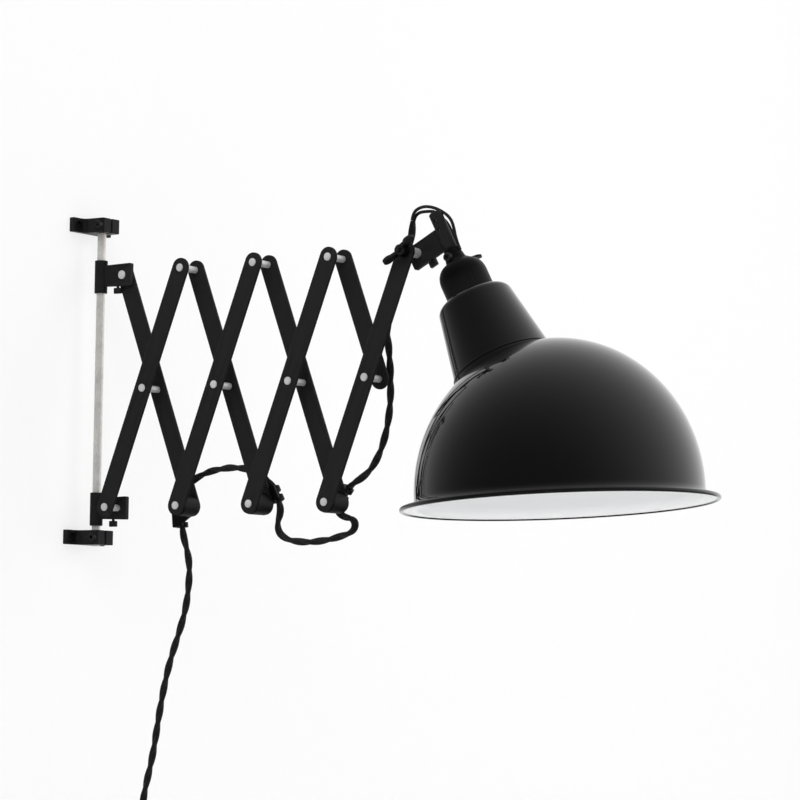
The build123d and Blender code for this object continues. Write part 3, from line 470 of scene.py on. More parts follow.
BAR_COAT = PowderCoat("satin_black_bars", (0.0022, 0.0022, 0.0024), 0.44, Slot.BLACK_STEEL, specular=0.06)
CAST_COAT = PowderCoat("satin_black_fittings", (0.0026, 0.0026, 0.0028), 0.38, Slot.BLACK_STEEL, peel_mm=0.06)
SCREW_BLACK = PowderCoat("blackened_screws", (0.007, 0.007, 0.0074), 0.32, Slot.ZINC, specular=0.3)
SHADE_BLACK = GlossEnamel("gloss_black_enamel", (0.0010, 0.0010, 0.0011), 0.06, Slot.ENAMEL)
SHADE_WHITE = GlossEnamel(
    "gloss_white_enamel", (0.96, 0.965, 0.97), 0.16, Slot.ENAMEL, wave_mm=0.012, coat=0.15, mottle=0.012
)
ROD_PLATE = PlatedMetal("drawn_nickel_rod", (0.86, 0.84, 0.8), 0.24, Slot.NICKEL, metallic=0.45)
RIVET_PLATE = PlatedMetal(
    "turned_zinc", (0.82, 0.82, 0.82), 0.36, Slot.ZINC, line_stretch=(1.0, 0.1, 1.0), metallic=0.4
)
PIN_BRASS = PlatedMetal("rolled_brass", (0.72, 0.55, 0.26), 0.28, Slot.BRASS, line_stretch=(1.0, 1.0, 1.0))
BLACK_MOULDING = MouldedPlastic("black_moulding", (0.0030, 0.0030, 0.0032), 0.5, Slot.PLASTIC)
CORD_BRAID = BraidedCloth("black_textile_braid", (0.0075, 0.0075, 0.0078), 0.75, Slot.CORD)


# ---------------------------------------------------------------- meshes
def new_piece(name: str, points: list[Vector], faces: list[Face]) -> bpy.types.Object:
    """Makes a smooth mesh object in the scene.

    Args:
        name: The piece's name.
        points: Its vertices, in metres.
        faces: Its faces, as indices of vertices.

    Returns:
        The new object.
    """
    mesh = bpy.data.meshes.new(name)
    mesh.from_pydata([tuple(p) for p in points], [], faces)
    mesh.validate()
    piece = bpy.data.objects.new(name, mesh)
    bpy.context.scene.collection.objects.link(piece)
    soften(piece)
    return piece


def soften(piece: bpy.types.Object, sharp_over: float = 32.0) -> None:
    """Shades a piece smooth, with its edges over this many degrees kept sharp."""
    mesh = piece.data
    mesh.polygons.foreach_set("use_smooth", [True] * len(mesh.polygons))
    mesh.set_sharp_from_angle(angle=math.radians(sharp_over))


def paint(piece: bpy.types.Object, finish: Finish) -> None:
    """Gives a piece one finish."""
    piece.data.materials.clear()
    piece.data.materials.append(finish.material())


def seat(piece: bpy.types.Object, body: str, finish: Finish) -> bpy.types.Object:
    """Finishes a piece, lets it ride on a body and reports it."""
    paint(piece, finish)
    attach(piece, body)
    LOG.info("%s rides on %s in %s", piece.name, body, finish.name)
    return piece


def round_steps(count: int) -> list[float]:
    """Angles that divide one turn into this many equal steps, in radians."""
    return [2 * math.pi * step / count for step in range(count)]


def tube_faces(start: int, rings: int, sides: int) -> list[Face]:
    """Faces of a round tube.

    Args:
        start: Index of its first point.
        rings: How many rings of points it has.
        sides: Points in each ring.

    Returns:
        The faces, ring by ring.
    """
    faces = []
    for ring in range(rings - 1):
        for side in range(sides):
            a = start + ring * sides + side
            b = start + ring * sides + (side + 1) % sides
            faces.append((a, b, b + sides, a + sides))
    return faces


def turned_faces(segments: int, count: int) -> list[Face]:
    """Faces of a closed profile of this many points that is turned once round in these segments."""
    faces = []
    for step in range(segments):
        here, ahead = step * count, (step + 1) % segments * count
        for i in range(count):
            j = (i + 1) % count
            faces.append((here + i, here + j, ahead + j, ahead + i))
    return faces


def lathe(
    name: str, frame: LeaningFrame, profile: list[tuple[float, float]], segments: int = 96
) -> bpy.types.Object:
    """Turns a closed profile about a leaning axis.

    Args:
        name: The piece's name.
        frame: The frame whose t axis is turned about.
        profile: Radii and heights in millimetres, outer side first.
        segments: Steps round the axis.

    Returns:
        The turned piece.
    """
    points = [frame.ring_point(radius, t, a) for a in round_steps(segments) for radius, t in profile]
    return new_piece(name, points, turned_faces(segments, len(profile)))


def cut_away(piece: bpy.types.Object, cutter: bpy.types.Object) -> None:
    """Cuts one piece out of another, and takes the cutter away."""
    cut = piece.modifiers.new("cut", "BOOLEAN")
    cut.operation = "DIFFERENCE"
    cut.solver = "EXACT"
    cut.object = cutter
    bpy.context.view_layer.update()
    done = bpy.data.meshes.new_from_object(piece.evaluated_get(bpy.context.evaluated_depsgraph_get()))
    piece.modifiers.clear()
    piece.data = done
    bpy.data.objects.remove(cutter)


def bezier(corners: list[tuple[float, float]], steps: int) -> list[tuple[float, float]]:
    """Points of a cubic curve in a plane, both ends included."""
    out = []
    for i in range(steps + 1):
        s = i / steps
        weights = ((1 - s) ** 3, 3 * s * (1 - s) ** 2, 3 * s * s * (1 - s), s**3)
        out.append(tuple(sum(w * c[k] for w, c in zip(weights, corners)) for k in (0, 1)))
    return out


def arc(
    centre: tuple[float, float], radius: float, start: float, end: float, steps: int
) -> list[tuple[float, float]]:
    """Points of an arc in a plane, angles in degrees, both ends included."""
    out = []
    for i in range(steps + 1):
        angle = math.radians(start + (end - start) * i / steps)
        out.append((centre[0] + radius * math.cos(angle), centre[1] + radius * math.sin(angle)))
    return out


# ---------------------------------------------------------------- fittings on the wall, collars and bars
@dataclass
class CarriedParts:
    """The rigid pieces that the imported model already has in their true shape."""

    nodes: dict[str, bpy.types.Object]
    coats: dict[str, Finish] = field(default_factory=dict)

    def plan(self) -> None:
        """Sets the finish of each piece."""
        bars = [f"front_bar_{k}" for k in range(1, 5)] + [f"back_bar_{k}" for k in range(1, 5)]
        fittings = ["upper_bracket", "lower_bracket", "lower_collar", "upper_collar", "head_bracket"]
        fittings += ["pivot_wing_nut", "ferrule_wing_nut", "ferrule", "lampholder_cover"]
        moulded = [f"pivot_hub_{k}" for k in (1, 2, 3)] + [f"cable_clip_{k}" for k in (1, 2, 3)]
        moulded += ["lampholder", "shade_ring", "coil_tie", "plug_body"]
        zinc = [f"front_bar_{k}_{kind}" for k in range(1, 5) for kind in ("rivets", "spacers")]
        zinc += [f"lower_pin_{k}" for k in (1, 2, 3)] + ["lower_collar_pin", "upper_collar_pin"]
        zinc += ["lower_collar_spacer", "head_pivot_spacer", "spindle"]
        screws = ["bracket_clamp_screws", "lower_collar_screw", "upper_collar_screw"]
        screws += ["head_bracket_screw", "head_pivot_bolt", "ferrule_bolt"]
        for names, finish in (
            (bars, BAR_COAT),
            (fittings, CAST_COAT),
            (moulded, BLACK_MOULDING),
            (zinc, RIVET_PLATE),
            (screws, SCREW_BLACK),
            (["rod", "plug_pins"], ROD_PLATE),
            (["socket_contacts"], PIN_BRASS),
        ):
            self.coats.update({name: finish for name in names})

    def dress(self) -> None:
        """Gives every carried piece its finish and soft shading."""
        for name, finish in self.coats.items():
            piece = self.nodes[name]
            soften(piece)
            piece.data.materials.clear()
            piece.data.materials.append(finish.material())
            LOG.info("%s dressed in %s", name, finish.name)


@dataclass
class RivetDomes:
    """The shallow domes on the pins' round heads, one piece to a body."""

    radius: float = 3.3
    rise: float = 0.55
    front_y: float = -24.5
    pin_front_y: float = -24.6
    upper_collar_y: float = -3.75
    rings: int = 5
    sides: int = 28

    def dome(self, places: list[tuple[float, float]], face_y: float, name: str) -> bpy.types.Object:
        """Domes at these (X, Z) places, standing out to -Y from this face.

        Args:
            places: X and Z of each pin, in millimetres.
            face_y: Y of the head's flat, in millimetres.
            name: The piece's name.

        Returns:
            The domes as one piece.
        """
        points: list[Vector] = []
        faces: list[Face] = []
        for x, z in places:
            start = len(points)
            for ring in range(self.rings):
                share = ring / self.rings
                radius = self.radius * (1 - share**1.6)
                y = face_y - self.rise * math.sin(share * math.pi / 2)
                for turn in round_steps(self.sides):
                    across, up = radius * math.cos(turn), radius * math.sin(turn)
                    points.append(Vector((x + across, y, z + up)) * MM)
            points.append(Vector((x, face_y - self.rise, z)) * MM)
            faces += tube_faces(start, self.rings, self.sides)
            last = start + (self.rings - 1) * self.sides
            ring_ends = ((last + s, last + (s + 1) % self.sides) for s in range(self.sides))
            faces += [(a, b, len(points) - 1) for a, b in ring_ends]
        return new_piece(name, points, faces)

    def build(self) -> None:
        """Makes and seats the domes of every pin that shows at the front."""
        for cell in range(1, 5):
            places = [(ARM.middle_x(cell), ARM.middle_z)]
            if cell < 4:
                places.append((ARM.pivot_x(cell), ARM.top_z))
            seat(self.dome(places, self.front_y, f"rivet_domes_{cell}"), f"front_{cell}", RIVET_PLATE)
        for number, body in ((1, "clip_1"), (2, "back_2"), (3, "back_3")):
            place = [(ARM.pivot_x(number), ARM.bottom_z)]
            seat(self.dome(place, self.pin_front_y, f"lower_pin_dome_{number}"), body, RIVET_PLATE)
        collars = (("lower", ARM.bottom_z, self.pin_front_y), ("upper", ARM.top_z, self.upper_collar_y))
        for level, z, face_y in collars:
            dome = self.dome([(ARM.first_x, z)], face_y, f"{level}_collar_pin_dome")
            seat(dome, f"{level}_carriage", RIVET_PLATE)


# ---------------------------------------------------------------- shade
@dataclass
class SpunShade:
    """The spun neck and bowl, black enamel outside and white inside, and the lampholder's screw shell."""

    bowl_r: float = 138.0
    bowl_height: float = 148.0
    bowl_sheet: float = 1.4
    quarter: float = 0.5523
    lip_r: float = 9.64
    lip_end: float = 284.0
    lip_in_bead: float = 8.0
    bead_r: float = 2.3
    pole_r: float = 0.02
    neck_top_t: float = -72.7
    neck_top_r: float = 38.0
    shoulder: float = 8.0
    neck_half_angle: float = 10.0
    sheet: float = 1.5
    holder_r: float = 19.0
    neck_bead_t: float = -147.0
    neck_bead_r: float = 1.3
    neck_bead_sunk: float = 0.3
    neck_bead_clear: float = 0.6
    neck_end_t: float = -150.0
    hole_inset: float = 2.0
    hole_t: tuple[float, float] = (-118.0, -172.0)
    seam_t: tuple[float, float] = (-176.0, -90.0)
    black_inside: int = 1
    wall_steps: int = 22
    segments: int = 192

    def neck_radius(self, t: float) -> float:
        """The neck's outer radius at this height below its shoulder, in millimetres."""
        slope = math.tan(math.radians(self.neck_half_angle))
        return self.neck_top_r + slope * (self.neck_top_t - self.shoulder - t)

    def quarter_profile(self, grown: float, steps: int) -> list[tuple[float, float]]:
        """Half of the bowl's profile from its top to its equator, grown by this much."""
        radius, height = self.bowl_r + grown, self.bowl_height + grown
        k = self.quarter
        return bezier([(0.0, height), (k * radius, height), (radius, k * height), (radius, 0.0)], steps)

    def enamel(self, piece: bpy.types.Object, count: int, white_from: int) -> None:
        """Enamels a turned sheet in black, and in white from this face of its profile on.

        Args:
            piece: The turned sheet.
            count: Points of its profile.
            white_from: The first white face of the profile.
        """
        for finish in (SHADE_BLACK, SHADE_WHITE):
            piece.data.materials.append(finish.material())
        for index, face in enumerate(piece.data.polygons):
            face.material_index = int(white_from <= index % count < count - 1)

    def bowl(self) -> bpy.types.Object:
        """The bowl with its rolled lip and beaded edge, and the round hole under the neck."""
        lip_x = self.bowl_r + self.lip_r
        middle_r = self.lip_r + self.bowl_sheet / 2
        lip_stop = self.lip_end - self.lip_in_bead
        end = math.radians(self.lip_end)
        bead = (lip_x + middle_r * math.cos(end), middle_r * math.sin(end))
        outer = [(max(r, self.pole_r), t) for r, t in self.quarter_profile(0.0, 56)]
        outer += arc((lip_x, 0.0), self.lip_r, 180.0, lip_stop, 12)[1:]
        rim = arc(bead, self.bead_r, 100.0, -200.0, 16)
        inner = arc((lip_x, 0.0), self.lip_r + self.bowl_sheet, lip_stop, 180.0, 12)
        dome_in = self.quarter_profile(-self.bowl_sheet, 56)
        inner += [(max(r, self.pole_r), t) for r, t in reversed(dome_in)][1:]
        profile = outer + rim + inner
        piece = lathe("spun_bowl", BOWL, profile, self.segments)
        self.enamel(piece, len(profile), len(outer) + len(rim) - 1 + self.black_inside)
        hole_r = self.neck_radius(self.neck_end_t) - self.hole_inset
        high, low = self.hole_t
        plug = [(0.01, high), (hole_r, high), (hole_r, low), (0.01, low)]
        cutter = lathe("neck_hole_cutter", HEAD, plug)
        cutter.data.materials.append(SHADE_WHITE.material())
        cut_away(piece, cutter)
        soften(piece, 40.0)
        return piece

    def dome_height(self, point: Vector) -> float:
        """How far a point stands above the bowl's outside, in millimetres, below zero when it is inside."""
        local = Vector(point) / MM - Vector(BOWL.origin)
        n, t = local.dot(BOWL.across), local.dot(BOWL.along)
        radius = math.hypot(n, local.y)
        if radius >= self.bowl_r:
            return 1.0
        low, high = 0.0, 1.0
        for _ in range(HALVINGS):
            s = (low + high) / 2
            reach = 3 * s * (1 - s) ** 2 * self.quarter * self.bowl_r + 3 * s * s * (1 - s) * self.bowl_r
            reach += s**3 * self.bowl_r
            low, high = (s, high) if reach < radius else (low, s)
        s = (low + high) / 2
        top = (1 - s) ** 3 + 3 * s * (1 - s) ** 2 + 3 * s * s * (1 - s) * self.quarter
        return t - top * self.bowl_height

    def seam(self, angle: float, inset: float) -> float:
        """Height at which the neck's wall meets the bowl at this angle round the head's axis."""
        low, high = self.seam_t
        for _ in range(HALVINGS):
            t = (low + high) / 2
            above = self.dome_height(HEAD.ring_point(self.neck_radius(t) - inset, t, angle)) > 0
            low, high = (low, t) if above else (t, high)
        return (low + high) / 2

    def neck_wall(self, top: tuple[float, float], end_t: float) -> list[tuple[float, float]]:
        """Radii and heights down the neck's wall, from its top to this height, both ends included."""
        slope = math.tan(math.radians(self.neck_half_angle))
        radius, start_t = top
        heights = [start_t + (end_t - start_t) * i / self.wall_steps for i in range(self.wall_steps + 1)]
        return [(radius + slope * (start_t - t), t) for t in heights]

    def neck(self) -> bpy.types.Object:
        """The neck: a rounded shoulder and a slightly flared wall that ends on the bowl."""
        points: list[Vector] = []
        lean = self.neck_half_angle
        inner_hole = self.holder_r + 0.3
        centre = (
            self.neck_radius(self.neck_top_t) - self.shoulder * math.tan(math.radians(45 - lean / 2)),
            self.neck_top_t - self.shoulder,
        )
        shoulder = arc(centre, self.shoulder, 90.0, lean, 9)
        shoulder_in = arc(centre, self.shoulder - self.sheet, lean, 90.0, 9)
        for angle in round_steps(self.segments):
            outside = self.neck_wall(shoulder[-1], self.seam(angle, 0.0))
            inside = self.neck_wall(shoulder_in[0], self.seam(angle, self.sheet))
            profile = [(inner_hole, self.neck_top_t), *shoulder, *outside[1:], *reversed(inside[1:])]
            profile += [*shoulder_in, (inner_hole, self.neck_top_t - self.sheet)]
            points += [HEAD.ring_point(radius, t, angle) for radius, t in profile]
        count = len(points) // self.segments
        piece = new_piece("spun_neck", points, turned_faces(self.segments, count))
        self.enamel(piece, count, 1 + len(shoulder) + self.wall_steps)
        return piece

    def neck_bead(self) -> bpy.types.Object:
        """The raised bead round the neck, where it stands clear of the bowl."""
        count, sides = 240, 10
        angles = [2 * math.pi * i / count - math.pi for i in range(count + 1)]
        clear = [a for a in angles if self.seam(a, 0.0) < self.neck_bead_t - self.neck_bead_clear]
        gap = max(range(len(clear) - 1), key=lambda i: clear[i + 1] - clear[i])
        if clear[gap + 1] - clear[gap] > 0.1:
            clear = clear[gap + 1:] + [a + 2 * math.pi for a in clear[: gap + 1]]
        middle = self.neck_radius(self.neck_bead_t) - self.neck_bead_sunk
        points: list[Vector] = []
        for angle in clear:
            for turn in round_steps(sides):
                radius = middle + self.neck_bead_r * math.cos(turn)
                t = self.neck_bead_t + self.neck_bead_r * math.sin(turn)
                points.append(HEAD.ring_point(radius, t, angle))
        faces = tube_faces(0, len(clear), sides)
        faces.append(tuple(range(sides - 1, -1, -1)))
        faces.append(tuple((len(clear) - 1) * sides + s for s in range(sides)))
        return new_piece("neck_bead", points, faces)

    def screw_shell(self) -> bpy.types.Object:
        """The lampholder's rolled screw shell, and the centre contact on its spring tongue."""
        points: list[Vector] = []
        bottom, top, pitch = -111.0, -86.0, 3.63
        radius, crest = 13.62, 0.26
        rings, sides, tongue_sides = 84, 72, 32
        for ring in range(rings + 1):
            t = bottom + (top - bottom) * ring / rings
            fade = max(0.0, min(1.0, (t - bottom) / 2.0, (top - t) / 2.0))
            for angle in round_steps(sides):
                wave = math.sin(2 * math.pi * (t / pitch) - angle)
                points.append(HEAD.ring_point(radius + crest * wave * fade, t, angle))
        faces = [(a, d, c, b) for a, b, c, d in tube_faces(0, rings + 1, sides)]
        tongue = ((6.2, -84.2), (6.0, -85.4), (3.4, -86.6), (1.6, -87.0), (0.05, -87.1))
        faces += tube_faces(len(points), len(tongue), tongue_sides)
        points += [HEAD.ring_point(reach, t, a) for reach, t in tongue for a in round_steps(tongue_sides)]
        return new_piece("screw_shell", points, faces)

    def build(self) -> None:
        """Makes, finishes and seats the shade's pieces."""
        for piece, node in ((self.bowl(), "shade_bowl"), (self.neck(), "shade_neck")):
            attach(piece, "shade")
            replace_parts(piece, node)
            LOG.info("%s stands for %s", piece.name, node)
        seat(self.neck_bead(), "shade", SHADE_BLACK)
        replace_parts(seat(self.screw_shell(), "shade", PIN_BRASS), "socket_contacts")


# ---------------------------------------------------------------- cord
@dataclass(frozen=True)
class CableClip:
    """Where a clip holds the cord, from its pivot, and the cord's heading there."""

    number: int
    dx: float
    dz: float
    heading: float

    def ahead(self, distance: float) -> Point:
        """The point this far along the heading from the middle of the clip's jaws, in millimetres."""
        turn = math.radians(self.heading)
        x = ARM.pivot_x(self.number) + self.dx + distance * math.cos(turn)
        return (x, 14.0, ARM.bottom_z + self.dz + distance * math.sin(turn))


CLIPS = {
    1: CableClip(1, -20.7, -13.0, -84.0),
    2: CableClip(2, 6.7, 11.2, -62.0),
    3: CableClip(3, -1.4, 10.2, 52.0),
}


class FarEnd(Enum):
    """What a cord's far end goes to."""

    OBJECT = "object"
    PLUG = "plug"


@dataclass
class Route:
    """A smooth route: a NURBS spline over these control points, in millimetres."""

    name: str
    controls: list[Point]
    resolution: int = 8
    nearest: float = 0.0004

    def samples(self) -> list[Vector]:
        """Points along the spline, in metres."""
        data = bpy.data.curves.new(self.name + "_route", "CURVE")
        data.dimensions = "3D"
        data.resolution_u = self.resolution
        spline = data.splines.new("NURBS")
        spline.points.add(len(self.controls) - 1)
        for point, place in zip(spline.points, self.controls):
            point.co = (place[0] * MM, place[1] * MM, place[2] * MM, 1.0)
        spline.order_u = 3
        spline.use_endpoint_u = True
        holder = bpy.data.objects.new(self.name + "_route", data)
        bpy.context.scene.collection.objects.link(holder)
        bpy.context.view_layer.update()
        graph = bpy.context.evaluated_depsgraph_get()
        mesh = bpy.data.meshes.new_from_object(holder.evaluated_get(graph))
        line = [vertex.co.copy() for vertex in mesh.vertices]
        bpy.data.objects.remove(holder)
        bpy.data.curves.remove(data)
        bpy.data.meshes.remove(mesh)
        kept = [line[0]]
        for point in line[1:]:
            if (point - kept[-1]).length > self.nearest:
                kept.append(point)
        return kept


def run_lengths(line: list[Vector]) -> list[float]:
    """Length along a line up to each of its points, in metres."""
    out = [0.0]
    for before, after in zip(line, line[1:]):
        out.append(out[-1] + (after - before).length)
    return out


def evenly(line: list[Vector], step: float) -> list[Vector]:
    """The same line with its points about this far apart."""
    runs = run_lengths(line)
    count = max(4, round(runs[-1] / step))
    out, index = [], 0
    for i in range(count + 1):
        want = runs[-1] * i / count
        while index < len(runs) - 2 and runs[index + 1] < want:
            index += 1
        span = runs[index + 1] - runs[index]
        out.append(line[index].lerp(line[index + 1], min(1.0, (want - runs[index]) / span)))
    return out


def frames_along(line: list[Vector]) -> list[tuple[Vector, Vector]]:
    """Two crosswise unit vectors at each point of a line, carried along it without a twist of their own."""
    heading = (line[1] - line[0]).normalized()
    side = heading.cross(Vector((0.0, 1.0, 0.0)))
    side = (side if side.length > 0.1 else heading.cross(Vector((1.0, 0.0, 0.0)))).normalized()
    frames: list[tuple[Vector, Vector]] = []
    for i, _ in enumerate(line):
        ahead = (line[min(i + 1, len(line) - 1)] - line[max(i - 1, 0)]).normalized()
        side = (side - ahead * side.dot(ahead)).normalized()
        frames.append((side.copy(), ahead.cross(side).normalized()))
    return frames


@dataclass
class TwistedCord:
    """Two braided cores laid round each other, or one core alone."""

    strand_r: float = 2.6
    lay_r: float = 1.15
    pitch: float = 46.0
    braid_pitch: float = 9.0
    sides: int = 12

    def strands(self, name: str, line: list[Vector], cores: int, turned: float) -> bpy.types.Object:
        """The cord's mesh.

        Args:
            name: The piece's name.
            line: Its middle line, in metres.
            cores: Two for the laid cord, one for a core alone.
            turned: Lay angle at the start, in radians.

        Returns:
            The cord as one mesh with a braid UV.
        """
        runs = run_lengths(line)
        points: list[Vector] = []
        faces: list[Face] = []
        marks: list[tuple[float, float]] = []
        frames = frames_along(line)
        lay = self.lay_r * MM if cores > 1 else 0.0
        for core in range(cores):
            start = len(points)
            for place, run, (u, v) in zip(line, runs, frames):
                turn = turned + 2 * math.pi * (run / (self.pitch * MM) + core / 2)
                middle = place + (u * math.cos(turn) + v * math.sin(turn)) * lay
                spokes = (u * math.cos(a) + v * math.sin(a) for a in round_steps(self.sides))
                points += [middle + spoke * self.strand_r * MM for spoke in spokes]
            faces += tube_faces(start, len(line), self.sides)
            for before, after in zip(runs, runs[1:]):
                low, high = before / (self.braid_pitch * MM), after / (self.braid_pitch * MM)
                for s in range(self.sides):
                    left, right = s / self.sides, (s + 1) / self.sides
                    marks += [(left, low), (right, low), (right, high), (left, high)]
            for ring, order in ((0, range(self.sides - 1, -1, -1)), (len(line) - 1, range(self.sides))):
                faces.append(tuple(start + ring * self.sides + s for s in order))
                marks += [(0.0, 0.0)] * self.sides
        piece = new_piece(name, points, faces)
        layer = piece.data.uv_layers.new(name="braid")
        layer.data.foreach_set("uv", [value for mark in marks for value in mark])
        soften(piece, 60.0)
        return piece


@dataclass
class Stretch:
    """One piece of a cord between two shares of its route, and the body it rides on or the two bodies it lies
    between.
    """

    name: str
    start: float
    end: float
    bodies: tuple[str, ...]


@dataclass
class TextileCord:
    """Every run of the textile cord, from the plug to the head."""

    twist: TwistedCord = field(default_factory=TwistedCord)
    core: TwistedCord = field(default_factory=lambda: TwistedCord(strand_r=1.6, sides=14))
    diameter: float = 0.0065
    core_diameter: float = 0.0032
    lane_y: float = 14.0
    coil_top: tuple[float, float] = (98.0, -453.2)
    inner_r: float = 25.2
    turn_pitch: float = 7.4
    first_layer: float = 3.0
    climb: float = 0.5
    second_layer: float = 2.75
    climb_dip: float = 0.9
    tail: float = 34.0
    point_step: float = 0.0016

    def lane(self, *places: tuple[float, float]) -> list[Point]:
        """Points in the cord's plane behind the bars."""
        return [(x, self.lane_y, z) for x, z in places]

    def swag_1(self) -> list[Point]:
        """Control points from the first clip to the second."""
        return [
            CLIPS[1].ahead(0), CLIPS[1].ahead(-15),
            *self.lane((124.0, -115.0), (135.5, -104.0), (151.0, -97.5), (170.0, -93.8),
                       (190.0, -92.8), (208.0, -95.5), (223.0, -102.0)),
            CLIPS[2].ahead(-12), CLIPS[2].ahead(0),
        ]

    def swag_2(self) -> list[Point]:
        """Control points from the second clip to the third, with its tight fold."""
        return [
            CLIPS[2].ahead(0), CLIPS[2].ahead(9),
            *self.lane((247.6, -139.5), (243.5, -150.0), (245.5, -160.5), (256.0, -167.0), (273.0, -169.8),
                       (291.0, -169.8), (309.0, -167.6), (323.5, -164.4), (334.5, -161.3), (339.5, -157.0),
                       (339.8, -150.8), (335.0, -146.8), (327.0, -145.8), (319.5, -141.5), (317.5, -135.0)),
            CLIPS[3].ahead(-9), CLIPS[3].ahead(0),
        ]

    def arm_run(self) -> list[Point]:
        """Control points from the third clip up behind the last bars."""
        return [
            CLIPS[3].ahead(0), CLIPS[3].ahead(11),
            *self.lane((349.5, -106.5), (363.5, -93.0), (374.0, -70.5), (380.0, -42.0), (380.6, -14.0),
                       (378.4, 14.0), (374.6, 40.0), (379.6, 62.0), (386.4, 82.0), (393.8, 100.0),
                       (400.0, 116.0), (403.5, 131.0), (404.5, 145.0)),
        ]

    def drop(self) -> list[Point]:
        """Control points from the first clip down to the coil, round its turns and into the plug."""
        return [
            CLIPS[1].ahead(0), CLIPS[1].ahead(15),
            *self.lane((128.5, -175.5), (132.3, -193.0), (131.5, -213.0), (128.8, -233.0), (123.5, -251.0),
                       (117.0, -268.0), (110.6, -285.0), (105.0, -303.0), (100.4, -322.0), (96.6, -341.0),
                       (93.2, -360.0), (89.8, -380.0), (85.0, -400.0), (79.4, -420.0),
                       (76.0, -439.3), (81.1, -448.1), (89.9, self.coil_top[1])),
            *self.turns(24),
        ]

    def turn_point(self, turns: float) -> Point:
        """A point of the coil's middle line this many turns from its top."""
        outer = self.inner_r + self.turn_pitch * self.first_layer
        climb_end = self.first_layer + self.climb
        if turns <= self.first_layer:
            radius, back = outer - self.turn_pitch * turns, 0.0
        elif turns <= climb_end:
            share = (turns - self.first_layer) / self.climb
            radius = self.inner_r - self.climb_dip * math.sin(math.pi * share)
            back = self.turn_pitch * share * share * (3 - 2 * share)
        else:
            radius, back = self.inner_r + self.turn_pitch * (turns - climb_end), self.turn_pitch
        angle = math.radians(90 - 360 * turns)
        middle_z = self.coil_top[1] - outer
        across, up = radius * math.cos(angle), radius * math.sin(angle)
        return (self.coil_top[0] + across, self.lane_y + back, middle_z + up)

    def turns(self, per_turn: int) -> list[Point]:
        """Control points of the coil and of its straight tail."""
        total = self.first_layer + self.climb + self.second_layer
        count = round(total * per_turn)
        out = [self.turn_point(total * i / count) for i in range(count + 1)]
        x, y, z = out[-1]
        return out + [(x, y, z - self.tail * share) for share in (0.3, 0.65, 1.0)]

    def conductor(self, front: bool) -> list[Point]:
        """Control points of one core from the cord's end to the ferrule's shoulder."""
        across, back = (9.5, -1.0) if front else (3.5, 8.0)
        entry = [tuple(HEAD.point(across, t, -back) / MM) for t in (-12.0, -22.5)]
        if front:
            return [
                (404.6, 12.3, 145.3), (405.4, 12.1, 150.0), (409.5, 11.0, 155.0), (418.0, 9.0, 157.5),
                (429.0, 6.5, 157.0), (441.5, 4.0, 153.0), (454.5, 2.0, 146.0), (462.5, -1.0, 137.0), *entry,
            ]
        return [
            (404.6, 15.7, 145.3), (405.6, 15.9, 149.5), (410.0, 16.4, 153.5), (418.5, 17.0, 154.0),
            (428.5, 17.5, 153.5), (437.5, 16.5, 146.5), (447.0, 14.5, 139.0), *entry,
        ]

    def lay(
        self,
        route: Route,
        stretches: list[Stretch],
        nodes: tuple[str, ...],
        core_only: bool = False,
        far_end: FarEnd = FarEnd.OBJECT,
        pieces_on_it: tuple[str, ...] = (),
        form: str = "hanging",
    ) -> None:
        """Args:
            route: The smooth route.
            stretches: Its pieces, in order, with the shares of the route that they cover.
            nodes: CAD nodes that the pieces stand for.
            core_only: Whether this is one core alone.
            far_end: What the last stretch ends in; not used.
            pieces_on_it: Pieces on the cord, such as its plug; not used.
            form: How the cord lies; not used.
        """
        maker = self.core if core_only else self.twist
        line = evenly(route.samples(), self.point_step)
        total = run_lengths(line)[-1]
        made = []
        for stretch in stretches:
            first = round(stretch.start * (len(line) - 1))
            last = round(stretch.end * (len(line) - 1))
            part = line[first : last + 1]
            turned = 2 * math.pi * (total * stretch.start) / (maker.pitch * MM)
            piece = maker.strands(stretch.name, part, 1 if core_only else 2, turned)
            paint(piece, CORD_BRAID)
            if len(stretch.bodies) == 1:
                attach(piece, stretch.bodies[0])
            else:
                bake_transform(piece)
            made.append(piece)
        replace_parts(made[0], *nodes)

    def build(self) -> None:
        """Lays every run of the cord."""
        self.lay(
            Route("drop", self.drop(), 6),
            [Stretch("cord_drop_and_coil", 0.0, 1.0, ("clip_1",))],
            ("cord_drop", "cord_coil"),
            far_end=FarEnd.PLUG,
            pieces_on_it=("plug_body", "plug_pins", "coil_tie", "plug_relief"),
            form="coiled",
        )
        for name, controls, parts in (
            ("swag_1", self.swag_1(), (
                ("start", 0.0, 0.33, ("clip_1", "front_2")),
                ("middle", 0.33, 0.66, ("front_2", "back_2")),
                ("end", 0.66, 1.0, ("back_2",)),
            )),
            ("swag_2", self.swag_2(), (
                ("start", 0.0, 0.33, ("back_2", "front_3")),
                ("middle", 0.33, 0.56, ("front_3", "back_3")),
                ("end", 0.56, 1.0, ("back_3",)),
            )),
            ("arm_run", self.arm_run(), (
                ("start", 0.0, 0.3, ("back_3", "front_4")),
                ("rest", 0.3, 1.0, ("front_4",)),
            )),
        ):
            stretches = [Stretch(f"cord_{name}_{part}", *reach) for part, *reach in parts]
            self.lay(Route(name, controls), stretches, (f"cord_{name}",))
        for front, name in ((True, "front_conductor"), (False, "rear_conductor")):
            self.lay(
                Route(name, self.conductor(front)),
                [
                    Stretch(name + "_start", 0.0, 0.5, ("front_4", "head")),
                    Stretch(name + "_end", 0.5, 1.0, ("head", "shade")),
                ],
                ("cord_head_loop",) if front else (),
                core_only=True,
            )


